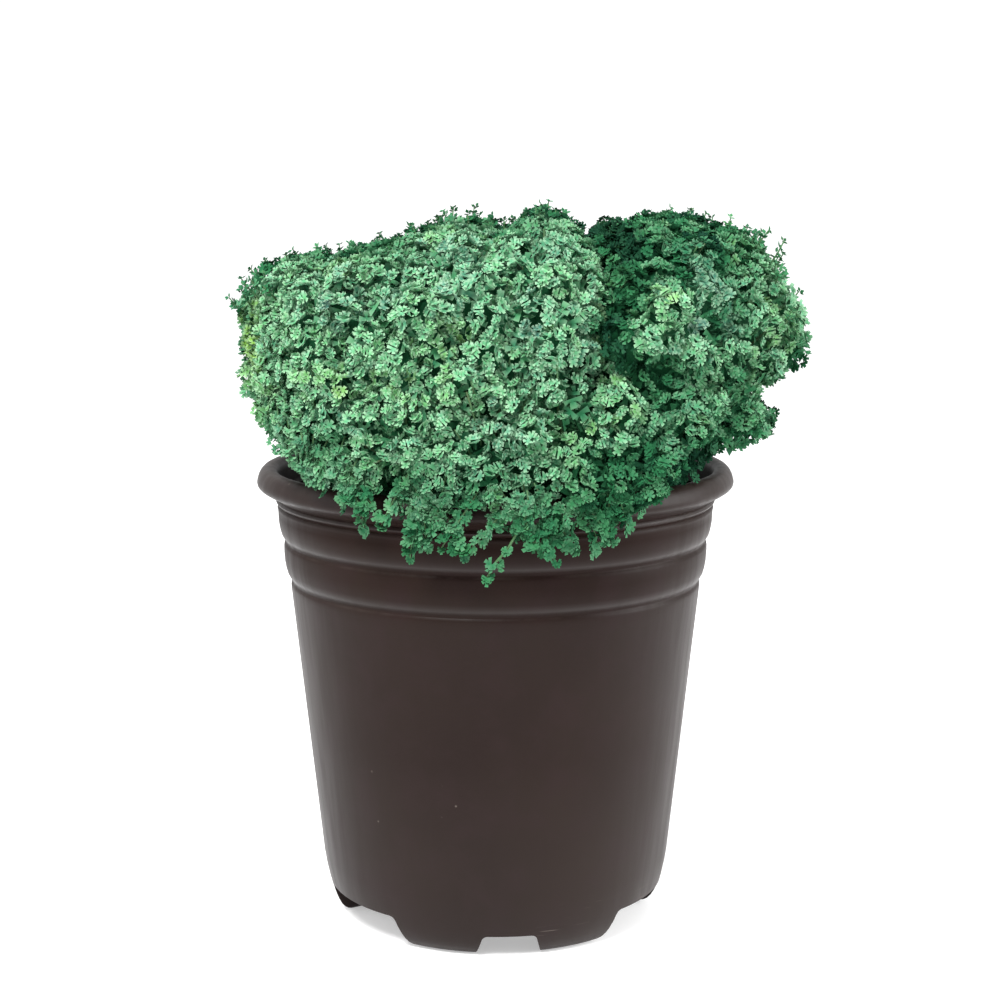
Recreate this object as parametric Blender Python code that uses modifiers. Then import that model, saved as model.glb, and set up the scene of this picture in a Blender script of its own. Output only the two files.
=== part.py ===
"""Creeping thyme in a round plastic nursery pot.

The origin is on the ground under the middle of the whole plant, +Z is up and the
front of the plant faces -Y. Everything is first built round the pot's axis and then
moved there together, because the leaves reach further out on one side. Angles round
the pot are measured from the front, towards +X.
"""

import math
import random

import bmesh
import bpy
from mathutils import Matrix, Vector, noise

MM = 0.001

# From the pot's axis to the middle of the whole plant's width and depth
PLANT_MIDDLE = (10.2 * MM, -1.4 * MM)

# The pot, a trade gallon size
POT_HEIGHT = 160.0 * MM
RIM_RADIUS = 82.5 * MM
RIM_HALF_WIDTH = 3.6 * MM
RIM_HALF_HEIGHT = 4.5 * MM
RIM_ROLL = (98.0, 70.0, 42.0, 14.0, -14.0, -42.0, -70.0)
RIM_LIP = 1.4 * MM
RIM_STEP = 9.0 * MM
WALL = 1.3 * MM
BEAD_DROP = 10.2 * MM
BEAD_SIZE = 0.7 * MM
NECK_DROP = 13.0 * MM
BAND_RADIUS = 75.9 * MM
BAND_CURVE = ((0.5 * MM, 1.6 * MM), (1.0 * MM, 0.4 * MM))
LEDGE_DROP = 2.1 * MM
LEDGE_DEPTH = 1.6 * MM
LEDGE_HEIGHTS = (136.0 * MM, 121.0 * MM)
TAPER = 0.105
TAPER_END = 22.0 * MM
FOOT_CURVE = ((1.3 * MM, 13.5 * MM), (2.9 * MM, 7.5 * MM), (4.9 * MM, 3.4 * MM), (7.4 * MM, 0.9 * MM))
INNER_CORNER = ((7.3 * MM, 0.0 * MM), (2.7 * MM, 7.0 * MM))
FOOT_OUTER = 50.6 * MM
FOOT_INNER = 44.6 * MM
FOOT_DRAFT = 0.6 * MM
FLOOR_HEIGHT = 12.2 * MM
FLOOR_THICKNESS = 1.6 * MM
FLOOR_TOP = FLOOR_HEIGHT + FLOOR_THICKNESS
FEET = 6
NOTCHES = ((22.6 * MM, 8.1 * MM), (43.6 * MM, 11.5 * MM))
NOTCH_LEAN = 2.0 * MM
NOTCH_LENGTH = 34.0 * MM
FIRST_NOTCH = 4.8
DRAIN_RADIUS = 4.0 * MM
DRAIN_CIRCLE = 34.0 * MM
POT_STEPS = 32

# The potting mix
MIX_TOP = 138.0 * MM
MIX_CROWN = 1.5 * MM
MIX_EDGE = 1.2 * MM
MIX_RINGS = (0.25, 0.5, 0.75, 0.93)
CLEARANCE = 0.3 * MM
MIX_STEPS = POT_STEPS // 2
MIX_ROUGHNESS = 1.2 * MM
MIX_GRAIN = 6.0 * MM
MIX_SMOOTH_EDGE = 69.0 * MM
HOLE_DEPTH = 12.0 * MM
HOLE_RADIUS = 1.9 * MM

# The mound of leaves, round its heart
HEART = Vector((6.0, -2.0, 192.0)) * MM
HALF_WIDTH = 97.0 * MM
HALF_DEPTH = 95.0 * MM
HALF_TOP = 53.0 * MM
HALF_UNDER = 33.0 * MM
FRONT_UNDER = 120.0 * MM
PLAN_POWER = 2.3
TOP_POWER = 4.8
UNDER_POWER = 2.2
LEFT_FALL = 12.0 * MM
RIGHT_RISE = 4.0 * MM
TILT_SPREAD = 60.0
RIGHT_LOBE = 8.0 * MM
LOBE_SPREAD = 36.0
LOBE_LEVEL = (0.17, 0.25)
VALLEY_SIDE = 40.0 * MM
VALLEY_DEPTH = 12.0 * MM
VALLEY_WIDTH = 10.0 * MM
SWELLS = 3.0 * MM
SWELL_SIZE = 40.0 * MM

# How low the leaves hang, over the rim all round and down in front of it
LEAF_FLOOR = 166.0 * MM
SKIRT_TOP = 173.0 * MM
SKIRT_BAND = 192.0 * MM
SKIRT_CROWDING = 0.70
SKIRT_LEAVES = 0.85
SKIRT_DROP = 23.0 * MM
SKIRT_SPREAD = 50.0
SPRIG_DROP = 7.0 * MM
SPRIG_SPREAD = 5.0

# The sprays: elevation, first azimuth, the turn to the next, how many, and how far out the stem stands
TIERS = {
    "top": (70.0, -26.0, 120.0, 3, 8.0 * MM),
    "shoulder": (28.0, 14.0, 360.0 / 7, 7, 17.0 * MM),
    "side": (-8.0, 58.0, 40.0, 7, 27.0 * MM),
}
TRAILS = 5
TRAIL_STEP = 21.0
TRAIL_MIDDLE = -2.0
TRAIL_RADIUS = 87.1 * MM
TRAIL_TOP = 174.0 * MM
TRAIL_END = 3.0 * MM
TRAIL_CORE_WIDTH = 23.0 * MM
TRAIL_CORE_DEPTH = 3.0 * MM
TRAIL_CORE_TAPER = 0.25
TRAIL_HOLE = 42.0 * MM
RIM_CLEAR = 85.2 * MM
CORE_DEPTH = 0.66
HOLLOW = 26.0 * MM
CORE_SURFACE = 0.72
CORE_FLOOR = 168.0 * MM
PLANE_GAP = 0.3 * MM
ROUNDING = 9.0
STEM_RADIUS = 1.2 * MM
STEM_KNEE = 23.0 * MM
STEM_RISE = 4.0 * MM

# The shoot tips that cover the mound
TIP_TRIALS = 6000
TIP_SPACING = 16.2 * MM
NEAR_TIPS = 32.0 * MM
TIP_RADIUS = 12.5 * MM
TIP_SURFACE = (0.90, 0.97)
TIP_LIFT = 0.35
TIP_TILT = 0.18
LEAF_PAIRS = 2
INNER_PAIR = 0.85
LEAF_HALF_ANGLE = 26.0
LEAF_NOTCH = 0.50
LEAF_CUP = 0.30
NOTCH_CUP = 0.09
BLADE_DEPTH = 2.2 * MM
STALK_RADIUS = 1.3 * MM
ROOT_SHARE = 0.6
SIZE_SPREAD = (0.9, 1.1)
SEED = 14

GOLDEN = math.pi * (3.0 - math.sqrt(5.0))
UP = Vector((0.0, 0.0, 1.0))


def clear_scene():
    for old in list(bpy.data.objects):
        bpy.data.objects.remove(old)


def collection(name):
    made = bpy.data.collections.new(name)
    bpy.context.scene.collection.children.link(made)
    return made


def material(name, colour, roughness, metallic=0.0):
    made = bpy.data.materials.new(name)
    made.use_nodes = True
    shader = made.node_tree.nodes["Principled BSDF"]
    shader.inputs["Base Color"].default_value = (*colour, 1.0)
    shader.inputs["Roughness"].default_value = roughness
    shader.inputs["Metallic"].default_value = metallic
    return made


def add_object(name, mesh, home, finish=None):
    made = bpy.data.objects.new(name, mesh)
    home.objects.link(made)
    if finish:
        mesh.materials.append(finish)
    return made


def applied(obj):
    """Bakes an object's modifiers into its own mesh."""
    bpy.context.view_layer.update()
    graph = bpy.context.evaluated_depsgraph_get()
    mesh = bpy.data.meshes.new_from_object(obj.evaluated_get(graph))
    obj.modifiers.clear()
    obj.data = mesh
    return obj


def smooth(obj):
    """Shades a round piece smooth, with its corners left sharp."""
    obj.data.shade_smooth()
    obj.data.set_sharp_from_angle(angle=math.radians(35.0))
    return obj


def on_circle(radius, azimuth, height=0.0):
    """A point at an azimuth in degrees from the front, towards +X."""
    turn = math.radians(azimuth)
    return Vector((radius * math.sin(turn), -radius * math.cos(turn), height))


# Pot
def rim_profile():
    """The rolled rim, from its inner corner over the top and round to its underside."""
    middle = RIM_RADIUS - RIM_HALF_WIDTH
    height = POT_HEIGHT - RIM_HALF_HEIGHT
    points = [
        (BAND_RADIUS - WALL, POT_HEIGHT - RIM_STEP),
        (middle - RIM_HALF_WIDTH + RIM_LIP / 2, POT_HEIGHT - RIM_LIP),
    ]
    for degrees in RIM_ROLL:
        turn = math.radians(degrees)
        points.append((middle + RIM_HALF_WIDTH * math.cos(turn), height + RIM_HALF_HEIGHT * math.sin(turn)))
    points.append((BAND_RADIUS + BEAD_SIZE, POT_HEIGHT - BEAD_DROP))
    return points


def wall_profile():
    """The two stepped bands and the tapering wall below them, from the neck down."""
    radius = BAND_RADIUS
    points = [(radius, POT_HEIGHT - NECK_DROP)]
    for ledge in LEDGE_HEIGHTS:
        points += [(radius - inset, ledge + rise) for inset, rise in BAND_CURVE]
        radius -= LEDGE_DROP
        points.append((radius, ledge - LEDGE_DEPTH))
    points.append((radius - TAPER * (points[-1][1] - TAPER_END), TAPER_END))
    return points


def base_profile(low_radius):
    """The wall's rounded foot, from the end of the taper to the ground, and the foot's inner side."""
    curve = [(low_radius - inset, height) for inset, height in FOOT_CURVE]
    return curve + [(FOOT_OUTER, 0.0), (FOOT_INNER, 0.0), (FOOT_INNER - FOOT_DRAFT, FLOOR_HEIGHT)]


def inner_profile():
    """The inside wall from the floor up, one wall thickness in from the outside one below each ledge."""
    outside = wall_profile()
    below_ledges = outside[::1 + len(BAND_CURVE)]
    wall = below_ledges + outside[-1:]
    low_radius = wall[-1][0]
    points = [(low_radius - inset, FLOOR_TOP + rise) for inset, rise in INNER_CORNER]
    return points + [(radius - WALL, height) for radius, height in reversed(wall)]


def turned(name, profile, steps, home, finish):
    """A solid turned from a profile that runs down its outer side."""
    section = bmesh.new()
    row = [section.verts.new((radius, 0.0, height)) for radius, height in profile]
    for upper, lower in zip(row, row[1:]):
        section.edges.new((upper, lower))
    mesh = bpy.data.meshes.new(name)
    section.to_mesh(mesh)
    section.free()
    made = add_object(name, mesh, home, finish)
    screw = made.modifiers.new("Turn", "SCREW")
    screw.steps = screw.render_steps = steps
    screw.use_merge_vertices = True
    screw.merge_threshold = 0.0001
    screw.use_smooth_shade = False
    return made


def cylinder(name, radius, depth, place, home, sides):
    shape = bmesh.new()
    bmesh.ops.create_cone(
        shape, cap_ends=True, segments=sides, radius1=radius, radius2=radius, depth=depth,
        matrix=Matrix.Translation(place),
    )
    mesh = bpy.data.meshes.new(name)
    shape.to_mesh(mesh)
    shape.free()
    return add_object(name, mesh, home)


def notch_cutter(azimuth, width, height, home):
    """A block with leaning sides that opens the gap between two feet."""
    shape = bmesh.new()
    bmesh.ops.create_cube(shape, size=2.0)
    for corner in shape.verts:
        half_width = width / 2 - corner.co.z * NOTCH_LEAN
        size = Vector((half_width, NOTCH_LENGTH / 2, height))
        corner.co = corner.co * size
    mesh = bpy.data.meshes.new("notch")
    shape.to_mesh(mesh)
    shape.free()
    cutter = add_object("notch", mesh, home)
    cutter.location = on_circle(FOOT_OUTER, azimuth)
    cutter.rotation_euler.z = math.radians(azimuth)
    return cutter


def cut(target, cutters):
    """Subtracts a collection of cutters from a part, and removes them."""
    boolean = target.modifiers.new("Cut", "BOOLEAN")
    boolean.operation = "DIFFERENCE"
    boolean.operand_type = "COLLECTION"
    boolean.collection = cutters
    boolean.solver = "EXACT"
    applied(target)
    for used in list(cutters.objects):
        bpy.data.objects.remove(used)
    bpy.data.collections.remove(cutters)
    return target


def build_pot(home):
    wall = wall_profile()
    profile = rim_profile() + wall + base_profile(wall[-1][0])
    profile += [(0.0, FLOOR_HEIGHT), (0.0, FLOOR_TOP)]
    profile += inner_profile()
    profile.append(profile[0])
    pot = turned("pot", profile, POT_STEPS, home, material("pot_plastic", (0.055, 0.040, 0.037), 0.42))
    cutters = collection("cutters")
    for foot in range(FEET):
        azimuth = FIRST_NOTCH + foot * 360.0 / FEET
        notch_cutter(azimuth, *NOTCHES[foot % 2], cutters)
        drain = on_circle(DRAIN_CIRCLE, azimuth, FLOOR_HEIGHT + FLOOR_THICKNESS / 2)
        cylinder("drain", DRAIN_RADIUS, 3.0 * FLOOR_THICKNESS, drain, cutters, sides=10)
    return smooth(cut(pot, cutters))


# Potting mix
def mix_profile():
    """The plug of mix, from the middle of its top out to the wall and down to the floor."""
    edge_height = MIX_TOP - MIX_EDGE
    inside = [(radius - CLEARANCE, height) for radius, height in inner_profile() if height < edge_height]
    inside[0] = (inside[0][0], FLOOR_TOP + CLEARANCE)
    edge = inside[-1][0]
    top = [(0.0, MIX_TOP + MIX_CROWN)]
    top += [(edge * share, MIX_TOP + MIX_CROWN * (1.0 - share)) for share in MIX_RINGS]
    top.append((edge, edge_height))
    return top + inside[::-1] + [(0.0, FLOOR_TOP + CLEARANCE)]


def build_mix(home, holes):
    mix = applied(
        turned("potting_mix", mix_profile(), MIX_STEPS, home, material("mix", (0.035, 0.022, 0.014), 0.95))
    )
    for corner in mix.data.vertices:
        on_top = corner.co.z > MIX_TOP - MIX_EDGE / 2
        if on_top and math.hypot(corner.co.x, corner.co.y) < MIX_SMOOTH_EDGE:
            corner.co.z += MIX_ROUGHNESS * noise.noise(corner.co / MIX_GRAIN)
    cutters = collection("holes")
    for place in holes:
        cylinder("hole", HOLE_RADIUS, 2.0 * HOLE_DEPTH, Vector((place.x, place.y, MIX_TOP)), cutters, sides=5)
    return smooth(cut(mix, cutters))


# Mound
def azimuth_of(direction):
    return math.degrees(math.atan2(direction.x, -direction.y))


def bell(distance, width):
    """1 at the middle and near 0 past the width."""
    return math.exp(-((distance / width) ** 2))


def mound_reach(direction):
    """From the heart to the leafy outside of the mound, in a direction of length 1."""
    azimuth = azimuth_of(direction)
    level = math.sqrt(max(0.0, 1.0 - direction.z**2))
    across = (abs(direction.x) / HALF_WIDTH) ** PLAN_POWER + (abs(direction.y) / HALF_DEPTH) ** PLAN_POWER
    plan = across ** (1.0 / PLAN_POWER)
    if direction.z > 0:
        power = TOP_POWER
        tilt = RIGHT_RISE * bell(azimuth - 90.0, TILT_SPREAD) - LEFT_FALL * bell(azimuth + 90.0, TILT_SPREAD)
        half_height = HALF_TOP + tilt * level
    else:
        power = UNDER_POWER
        half_height = HALF_UNDER + (FRONT_UNDER - HALF_UNDER) * bell(azimuth, SKIRT_SPREAD)
    reach = (plan**power + (abs(direction.z) / half_height) ** power) ** (-1.0 / power)
    level_off, thickness = LOBE_LEVEL
    reach += RIGHT_LOBE * bell(azimuth - 90.0, LOBE_SPREAD) * bell(direction.z - level_off, thickness)
    reach -= VALLEY_DEPTH * bell(HEART.x + direction.x * reach - VALLEY_SIDE, VALLEY_WIDTH)
    return reach + SWELLS * noise.noise(direction * (reach / SWELL_SIZE))


def mound_point(direction, share):
    return HEART + direction * (mound_reach(direction) * share)


def skirt_height(azimuth):
    """How low the middle of a shoot tip hangs: over the rim at the sides, and down in front of it."""
    turn = (azimuth - TRAIL_MIDDLE) / SKIRT_SPREAD
    drop = SKIRT_DROP * math.sqrt(max(0.0, 1.0 - turn * turn))
    return SKIRT_TOP - drop - SPRIG_DROP * bell(azimuth - TRAIL_MIDDLE, SPRIG_SPREAD)


def halfway(here, there):
    """The plane midway between two places, as its normal towards the far one and a point on it."""
    return (there - here).normalized(), (here + there) / 2


class Spray:
    """A leafy stem: the middle of its core, where it stands in the mix, and the planes of its cell."""

    trailing = False

    def __init__(self, name, middle, hole):
        self.name = name
        self.middle = middle
        self.hole = hole
        self.planes = []
        self.leaf_planes = []

    def bound(self, others):
        """The core ends halfway to each other spray, and the leaves at their floor and the trailing sprays."""
        floor = (-UP, UP * LEAF_FLOOR)
        rest = [other for other in others if other is not self]
        self.planes = [halfway(self.middle, other.middle) for other in rest] + [floor]
        self.leaf_planes = [halfway(self.middle, other.middle) for other in rest if other.trailing] + [floor]

    def mound_limit(self, way):
        """From the core's middle to where the mound leaves room for leaves, by halving."""
        near_by, far = 0.0, HALF_WIDTH
        for _ in range(16):
            half = (near_by + far) / 2
            out = self.middle + way * half - HEART
            if out.length > CORE_SURFACE * mound_reach(out.normalized()):
                far = half
            else:
                near_by = half
        return max(near_by, STEM_RADIUS)

    def reach(self, way):
        """How far the core goes from its middle: a cell of the mound with its edges rounded."""
        inward = HEART - self.middle
        terms = [
            1.0 / self.mound_limit(way),
            way.dot(inward) / (inward.length * (inward.length - HOLLOW)),
            -way.z / (self.middle.z - CORE_FLOOR),
        ]
        for normal, point in self.planes:
            terms.append(way.dot(normal) / ((point - self.middle).dot(normal) - PLANE_GAP))
        return sum(max(term, 0.0) ** ROUNDING for term in terms) ** (-1.0 / ROUNDING)

    def root(self, heart):
        """A place well inside the core, for the stalk of a shoot tip to end in."""
        way = (heart - self.middle).normalized()
        return self.middle + way * (ROOT_SHARE * self.reach(way))

    def route(self):
        """From the bottom of the hole in the mix, up among the other stems, to the core."""
        foot = Vector((self.hole.x, self.hole.y, MIX_TOP - HOLE_DEPTH + CLEARANCE))
        rise = foot + UP * (HOLE_DEPTH + STEM_RISE)
        knee = HEART + (self.middle - HEART).normalized() * STEM_KNEE
        return [foot, rise, knee, self.middle] if knee.z > HEART.z else [foot, rise, self.middle]

    def core(self, home, finish):
        shape = bmesh.new()
        bmesh.ops.create_icosphere(shape, subdivisions=2, radius=1.0)
        for corner in shape.verts:
            way = corner.co.normalized()
            corner.co = self.middle + way * self.reach(way)
        mesh = bpy.data.meshes.new(self.name)
        shape.to_mesh(mesh)
        shape.free()
        return add_object(self.name, mesh, home, finish)


class TrailingSpray(Spray):
    """A leafy stem that lies over the rim and hangs in front of it, with a flat core."""

    trailing = True

    def __init__(self, name, azimuth):
        low = skirt_height(azimuth) + TRAIL_END
        middle = on_circle(TRAIL_RADIUS, azimuth, (TRAIL_TOP + low) / 2)
        super().__init__(name, middle, on_circle(TRAIL_HOLE, azimuth, MIX_TOP))
        self.azimuth = azimuth
        self.outward = on_circle(1.0, azimuth)
        self.half_height = (TRAIL_TOP - low) / 2

    def bound(self, others):
        rim = (-self.outward, self.outward * RIM_CLEAR)
        rest = [other for other in others if other is not self]
        self.leaf_planes = [halfway(self.middle, other.middle) for other in rest] + [rim]

    def root(self, heart):
        across = UP.cross(self.outward)
        half_width = TRAIL_CORE_WIDTH * (1.0 - TRAIL_CORE_TAPER) / 2 - STALK_RADIUS
        half_height = self.half_height - 2.0 * STALK_RADIUS
        side = max(-half_width, min(half_width, (heart - self.middle).dot(across)))
        rise = max(-half_height, min(half_height, (heart - self.middle).z))
        return self.middle + across * side + UP * rise

    def route(self):
        foot, rise = super().route()[:2]
        over = self.outward * (RIM_RADIUS - RIM_HALF_WIDTH) + UP * (POT_HEIGHT + STEM_RISE)
        arch = (rise + over) / 2 + UP * STEM_RISE
        return [foot, rise, arch, over, self.middle + UP * STEM_RISE / 2]

    def core(self, home, finish):
        shape = bmesh.new()
        bmesh.ops.create_cube(shape, size=2.0)
        turn = Matrix.Rotation(math.radians(self.azimuth), 3, "Z")
        for corner in shape.verts:
            width = TRAIL_CORE_WIDTH * (1.0 + TRAIL_CORE_TAPER * corner.co.z)
            size = Vector((width / 2, TRAIL_CORE_DEPTH / 2, self.half_height))
            corner.co = self.middle + turn @ (corner.co * size)
        mesh = bpy.data.meshes.new(self.name)
        shape.to_mesh(mesh)
        shape.free()
        return add_object(self.name, mesh, home, finish)


def toward(azimuth, elevation):
    lift = math.radians(elevation)
    return on_circle(math.cos(lift), azimuth, math.sin(lift))


def plan_sprays():
    sprays = []
    crown = Vector((HEART.x, HEART.y, MIX_TOP))
    for tier, (elevation, first, step, count, hole) in TIERS.items():
        for place in range(count):
            azimuth = first + place * step
            middle = mound_point(toward(azimuth, elevation), CORE_DEPTH)
            name = f"spray_{tier}_{place + 1:02d}"
            sprays.append(Spray(name, middle, crown + on_circle(hole, azimuth)))
    for place in range(TRAILS):
        azimuth = TRAIL_MIDDLE + (place - (TRAILS - 1) / 2) * TRAIL_STEP
        sprays.append(TrailingSpray(f"spray_trailing_{place + 1:02d}", azimuth))
    for spray in sprays:
        spray.bound(sprays)
    return sprays


def stem(spray, home):
    line = bpy.data.curves.new("stem", "CURVE")
    line.dimensions = "3D"
    line.bevel_depth = STEM_RADIUS
    line.bevel_resolution = 0
    line.use_fill_caps = True
    route = spray.route()
    run = line.splines.new("POLY")
    run.points.add(len(route) - 1)
    for point, place in zip(run.points, route):
        point.co = (*place, 1.0)
    drawn = add_object("stem_line", line, home)
    bpy.context.view_layer.update()
    mesh = bpy.data.meshes.new_from_object(drawn.evaluated_get(bpy.context.evaluated_depsgraph_get()))
    bpy.data.objects.remove(drawn)
    shape = bmesh.new()
    shape.from_mesh(mesh)
    bmesh.ops.remove_doubles(shape, verts=shape.verts, dist=0.00001)
    bmesh.ops.recalc_face_normals(shape, faces=shape.faces)
    shape.to_mesh(mesh)
    shape.free()
    return add_object("stem", mesh, home)


def leaf_outline(radius):
    """The edge of a rosette of opposite leaves: two corners to a leaf's blunt end, then the notch."""
    leaves = 2 * LEAF_PAIRS
    for leaf in range(leaves):
        turn = math.tau * leaf / leaves
        length = radius * (1.0 if leaf % 2 == 0 else INNER_PAIR)
        for side in (-LEAF_HALF_ANGLE, LEAF_HALF_ANGLE):
            angle = turn + math.radians(side)
            yield Vector((length * math.cos(angle), length * math.sin(angle), LEAF_CUP * length))
        gap = turn + math.pi / leaves
        yield Vector((math.cos(gap), math.sin(gap), NOTCH_CUP)) * (LEAF_NOTCH * radius)


def in_skirt(place):
    """Whether a place is in the skirt that hangs in front of the rim, where the leaves are smaller."""
    return place.z < SKIRT_BAND and abs(azimuth_of(place) - TRAIL_MIDDLE) < SKIRT_SPREAD + 5.0


class Tip:
    """A shoot tip: where its heart lies on the mound, the way it faces, and its spray."""

    def __init__(self, place, facing, spray):
        self.place = place
        self.facing = facing
        self.spray = spray
        self.radius = TIP_RADIUS * (SKIRT_LEAVES if in_skirt(place) else 1.0)
        self.planes = list(spray.leaf_planes)

    def bound(self, others):
        """The leaves end halfway to the near shoot tips of other sprays."""
        for other in others:
            if other.spray is not self.spray and (other.place - self.place).length < NEAR_TIPS:
                self.planes.append(halfway(self.place, other.place))

    def bend_clear(self, points):
        """The move that brings every point inside the planes, along the mound where it can."""
        outward = (self.place - HEART).normalized()
        shift = Vector()
        for _ in range(6):
            for normal, point in self.planes:
                over = max((place + shift - point).dot(normal) for place in points) + PLANE_GAP
                if over > 0:
                    along = normal - outward * normal.dot(outward)
                    slide = along if along.length > 0.5 else normal
                    shift -= slide * (over / slide.length_squared)
        return shift


def rosette(tip, radius, spin, home):
    """A cupped rosette of leaves on a three-sided stalk that is sunk in the core."""
    place = tip.place
    frame = tip.facing.to_track_quat("Z", "Y").to_matrix() @ Matrix.Rotation(spin, 3, "Z")
    edge = [place + frame @ point for point in leaf_outline(radius)]
    collar = []
    for corner in range(3):
        turn = math.tau * (corner + 0.375) / 3
        side = Vector((math.cos(turn), math.sin(turn), 0.0)) * STALK_RADIUS
        collar.append(place + frame @ (side - Vector((0.0, 0.0, BLADE_DEPTH))))
    shift = tip.bend_clear(edge + collar)
    heart = place + shift
    inward = tip.spray.root(heart) - heart
    shape = bmesh.new()
    middle = shape.verts.new(heart)
    ring = [shape.verts.new(point + shift) for point in edge]
    neck = [shape.verts.new(point + shift) for point in collar]
    foot = [shape.verts.new(point + shift + inward) for point in collar]
    for first, second in zip(ring, ring[1:] + ring[:1]):
        shape.faces.new((middle, first, second))
    loops = []
    for loop in (ring, neck):
        for first, second in zip(loop, loop[1:] + loop[:1]):
            loops.append(shape.edges.get((first, second)) or shape.edges.new((first, second)))
    bmesh.ops.bridge_loops(shape, edges=loops)
    for first, second in zip(range(3), (1, 2, 0)):
        shape.faces.new((neck[first], neck[second], foot[second], foot[first]))
    shape.faces.new(foot)
    bmesh.ops.recalc_face_normals(shape, faces=shape.faces)
    mesh = bpy.data.meshes.new("tip")
    shape.to_mesh(mesh)
    shape.free()
    return add_object("tip", mesh, home)


def tip_directions(draw):
    """Directions spread evenly all round the heart, in a shuffled order."""
    order = list(range(TIP_TRIALS))
    draw.shuffle(order)
    for number in order:
        height = 1.0 - 2.0 * (number + 0.5) / TIP_TRIALS
        level = math.sqrt(1.0 - height * height)
        turn = number * GOLDEN
        yield Vector((level * math.cos(turn), level * math.sin(turn), height))


def hangs_free(place):
    """Whether a shoot tip has room there: over the skirt's edge, and not on the rim."""
    if place.z < skirt_height(azimuth_of(place)):
        return False
    return place.z > SKIRT_TOP or math.hypot(place.x, place.y) > RIM_CLEAR


def plan_tips(sprays, draw):
    """Covers the mound with shoot tips, each on the spray whose middle is nearest."""
    tips = []
    for direction in tip_directions(draw):
        place = mound_point(direction, draw.uniform(*TIP_SURFACE))
        spacing = TIP_SPACING * (SKIRT_CROWDING if in_skirt(place) else 1.0)
        crowded = any((place - other.place).length < spacing for other in tips)
        if crowded or not hangs_free(place):
            continue
        tilt = Vector([draw.uniform(-TIP_TILT, TIP_TILT) for _ in range(3)])
        nearest = min(sprays, key=lambda spray: (spray.middle - place).length)
        tips.append(Tip(place, (direction + TIP_LIFT * UP + tilt).normalized(), nearest))
    for tip in tips:
        tip.bound(tips)
    return tips


def keep_largest_shell(mesh):
    """Drops loose scraps, and fills any hollow that the joining has sealed."""
    shape = bmesh.new()
    shape.from_mesh(mesh)
    shells = []
    waiting = set(shape.verts)
    while waiting:
        shell = {waiting.pop()}
        front = list(shell)
        while front:
            near_by = {edge.other_vert(corner) for corner in front for edge in corner.link_edges}
            front = list(near_by - shell)
            shell |= near_by
        waiting -= shell
        shells.append(shell)
    largest = max(shells, key=len)
    bmesh.ops.delete(shape, geom=[corner for corner in shape.verts if corner not in largest], context="VERTS")
    shape.to_mesh(mesh)
    shape.free()


def joined(body, parts):
    """Unites a body with everything in a collection, and removes that."""
    boolean = body.modifiers.new("Join", "BOOLEAN")
    boolean.operation = "UNION"
    boolean.operand_type = "COLLECTION"
    boolean.collection = parts
    boolean.solver = "MANIFOLD"
    applied(body)
    keep_largest_shell(body.data)
    for used in list(parts.objects):
        bpy.data.objects.remove(used)
    bpy.data.collections.remove(parts)
    return body


def build_sprays(home, sprays):
    finish = material("thyme_leaf", (0.10, 0.30, 0.16), 0.6)
    draw = random.Random(SEED)
    tips = plan_tips(sprays, draw)
    for spray in sprays:
        body = spray.core(home, finish)
        parts = collection("parts")
        stem(spray, parts)
        for tip in tips:
            if tip.spray is spray:
                rosette(tip, tip.radius * draw.uniform(*SIZE_SPREAD), draw.uniform(0.0, math.tau), parts)
        joined(body, parts)


def centre(home):
    """Moves everything so that the origin is under the middle of the whole plant."""
    for made in home.objects:
        made.data.transform(Matrix.Translation((-PLANT_MIDDLE[0], -PLANT_MIDDLE[1], 0.0)))


def main():
    clear_scene()
    home = collection("potted_creeping_thyme")
    sprays = plan_sprays()
    build_pot(home)
    build_mix(home, [spray.hole for spray in sprays])
    build_sprays(home, sprays)
    centre(home)


main()
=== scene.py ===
"""The looks of a pot of creeping thyme: the fine leaves, stems, plastic and potting mix."""

import itertools
import math
import random

import bmesh
import bpy
from mathutils import Matrix, Vector, noise
from mathutils.kdtree import KDTree


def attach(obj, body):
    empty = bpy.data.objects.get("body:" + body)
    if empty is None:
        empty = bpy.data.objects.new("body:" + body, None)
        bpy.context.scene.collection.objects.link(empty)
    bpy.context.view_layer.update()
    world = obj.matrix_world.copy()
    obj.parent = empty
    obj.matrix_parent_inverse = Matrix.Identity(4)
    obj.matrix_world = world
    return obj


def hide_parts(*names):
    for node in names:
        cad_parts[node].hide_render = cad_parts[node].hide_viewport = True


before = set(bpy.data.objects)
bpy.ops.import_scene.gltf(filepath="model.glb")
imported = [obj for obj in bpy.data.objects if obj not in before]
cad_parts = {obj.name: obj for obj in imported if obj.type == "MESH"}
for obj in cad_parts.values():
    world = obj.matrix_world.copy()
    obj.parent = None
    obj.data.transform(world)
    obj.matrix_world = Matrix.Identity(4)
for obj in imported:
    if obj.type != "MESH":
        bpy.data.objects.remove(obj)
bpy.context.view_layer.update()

MM = 0.001
UP = Vector((0.0, 0.0, 1.0))
GOLDEN = math.pi * (3.0 - math.sqrt(5.0))

# From the pot's axis to the middle of the whole plant, where the frame's origin is
PLANT_MIDDLE = Vector((10.2, -1.4, 0.0)) * MM

# Camera, measured from the pot's axis
CAMERA_PLACE = Vector((1.6, -742.0, 267.1)) * MM
CAMERA_PITCH = 9.2
CAMERA_LENS = 77.04

# Where the lamps point
LAMP_AIM = Vector((0.0, 0.0, 0.14))

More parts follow.
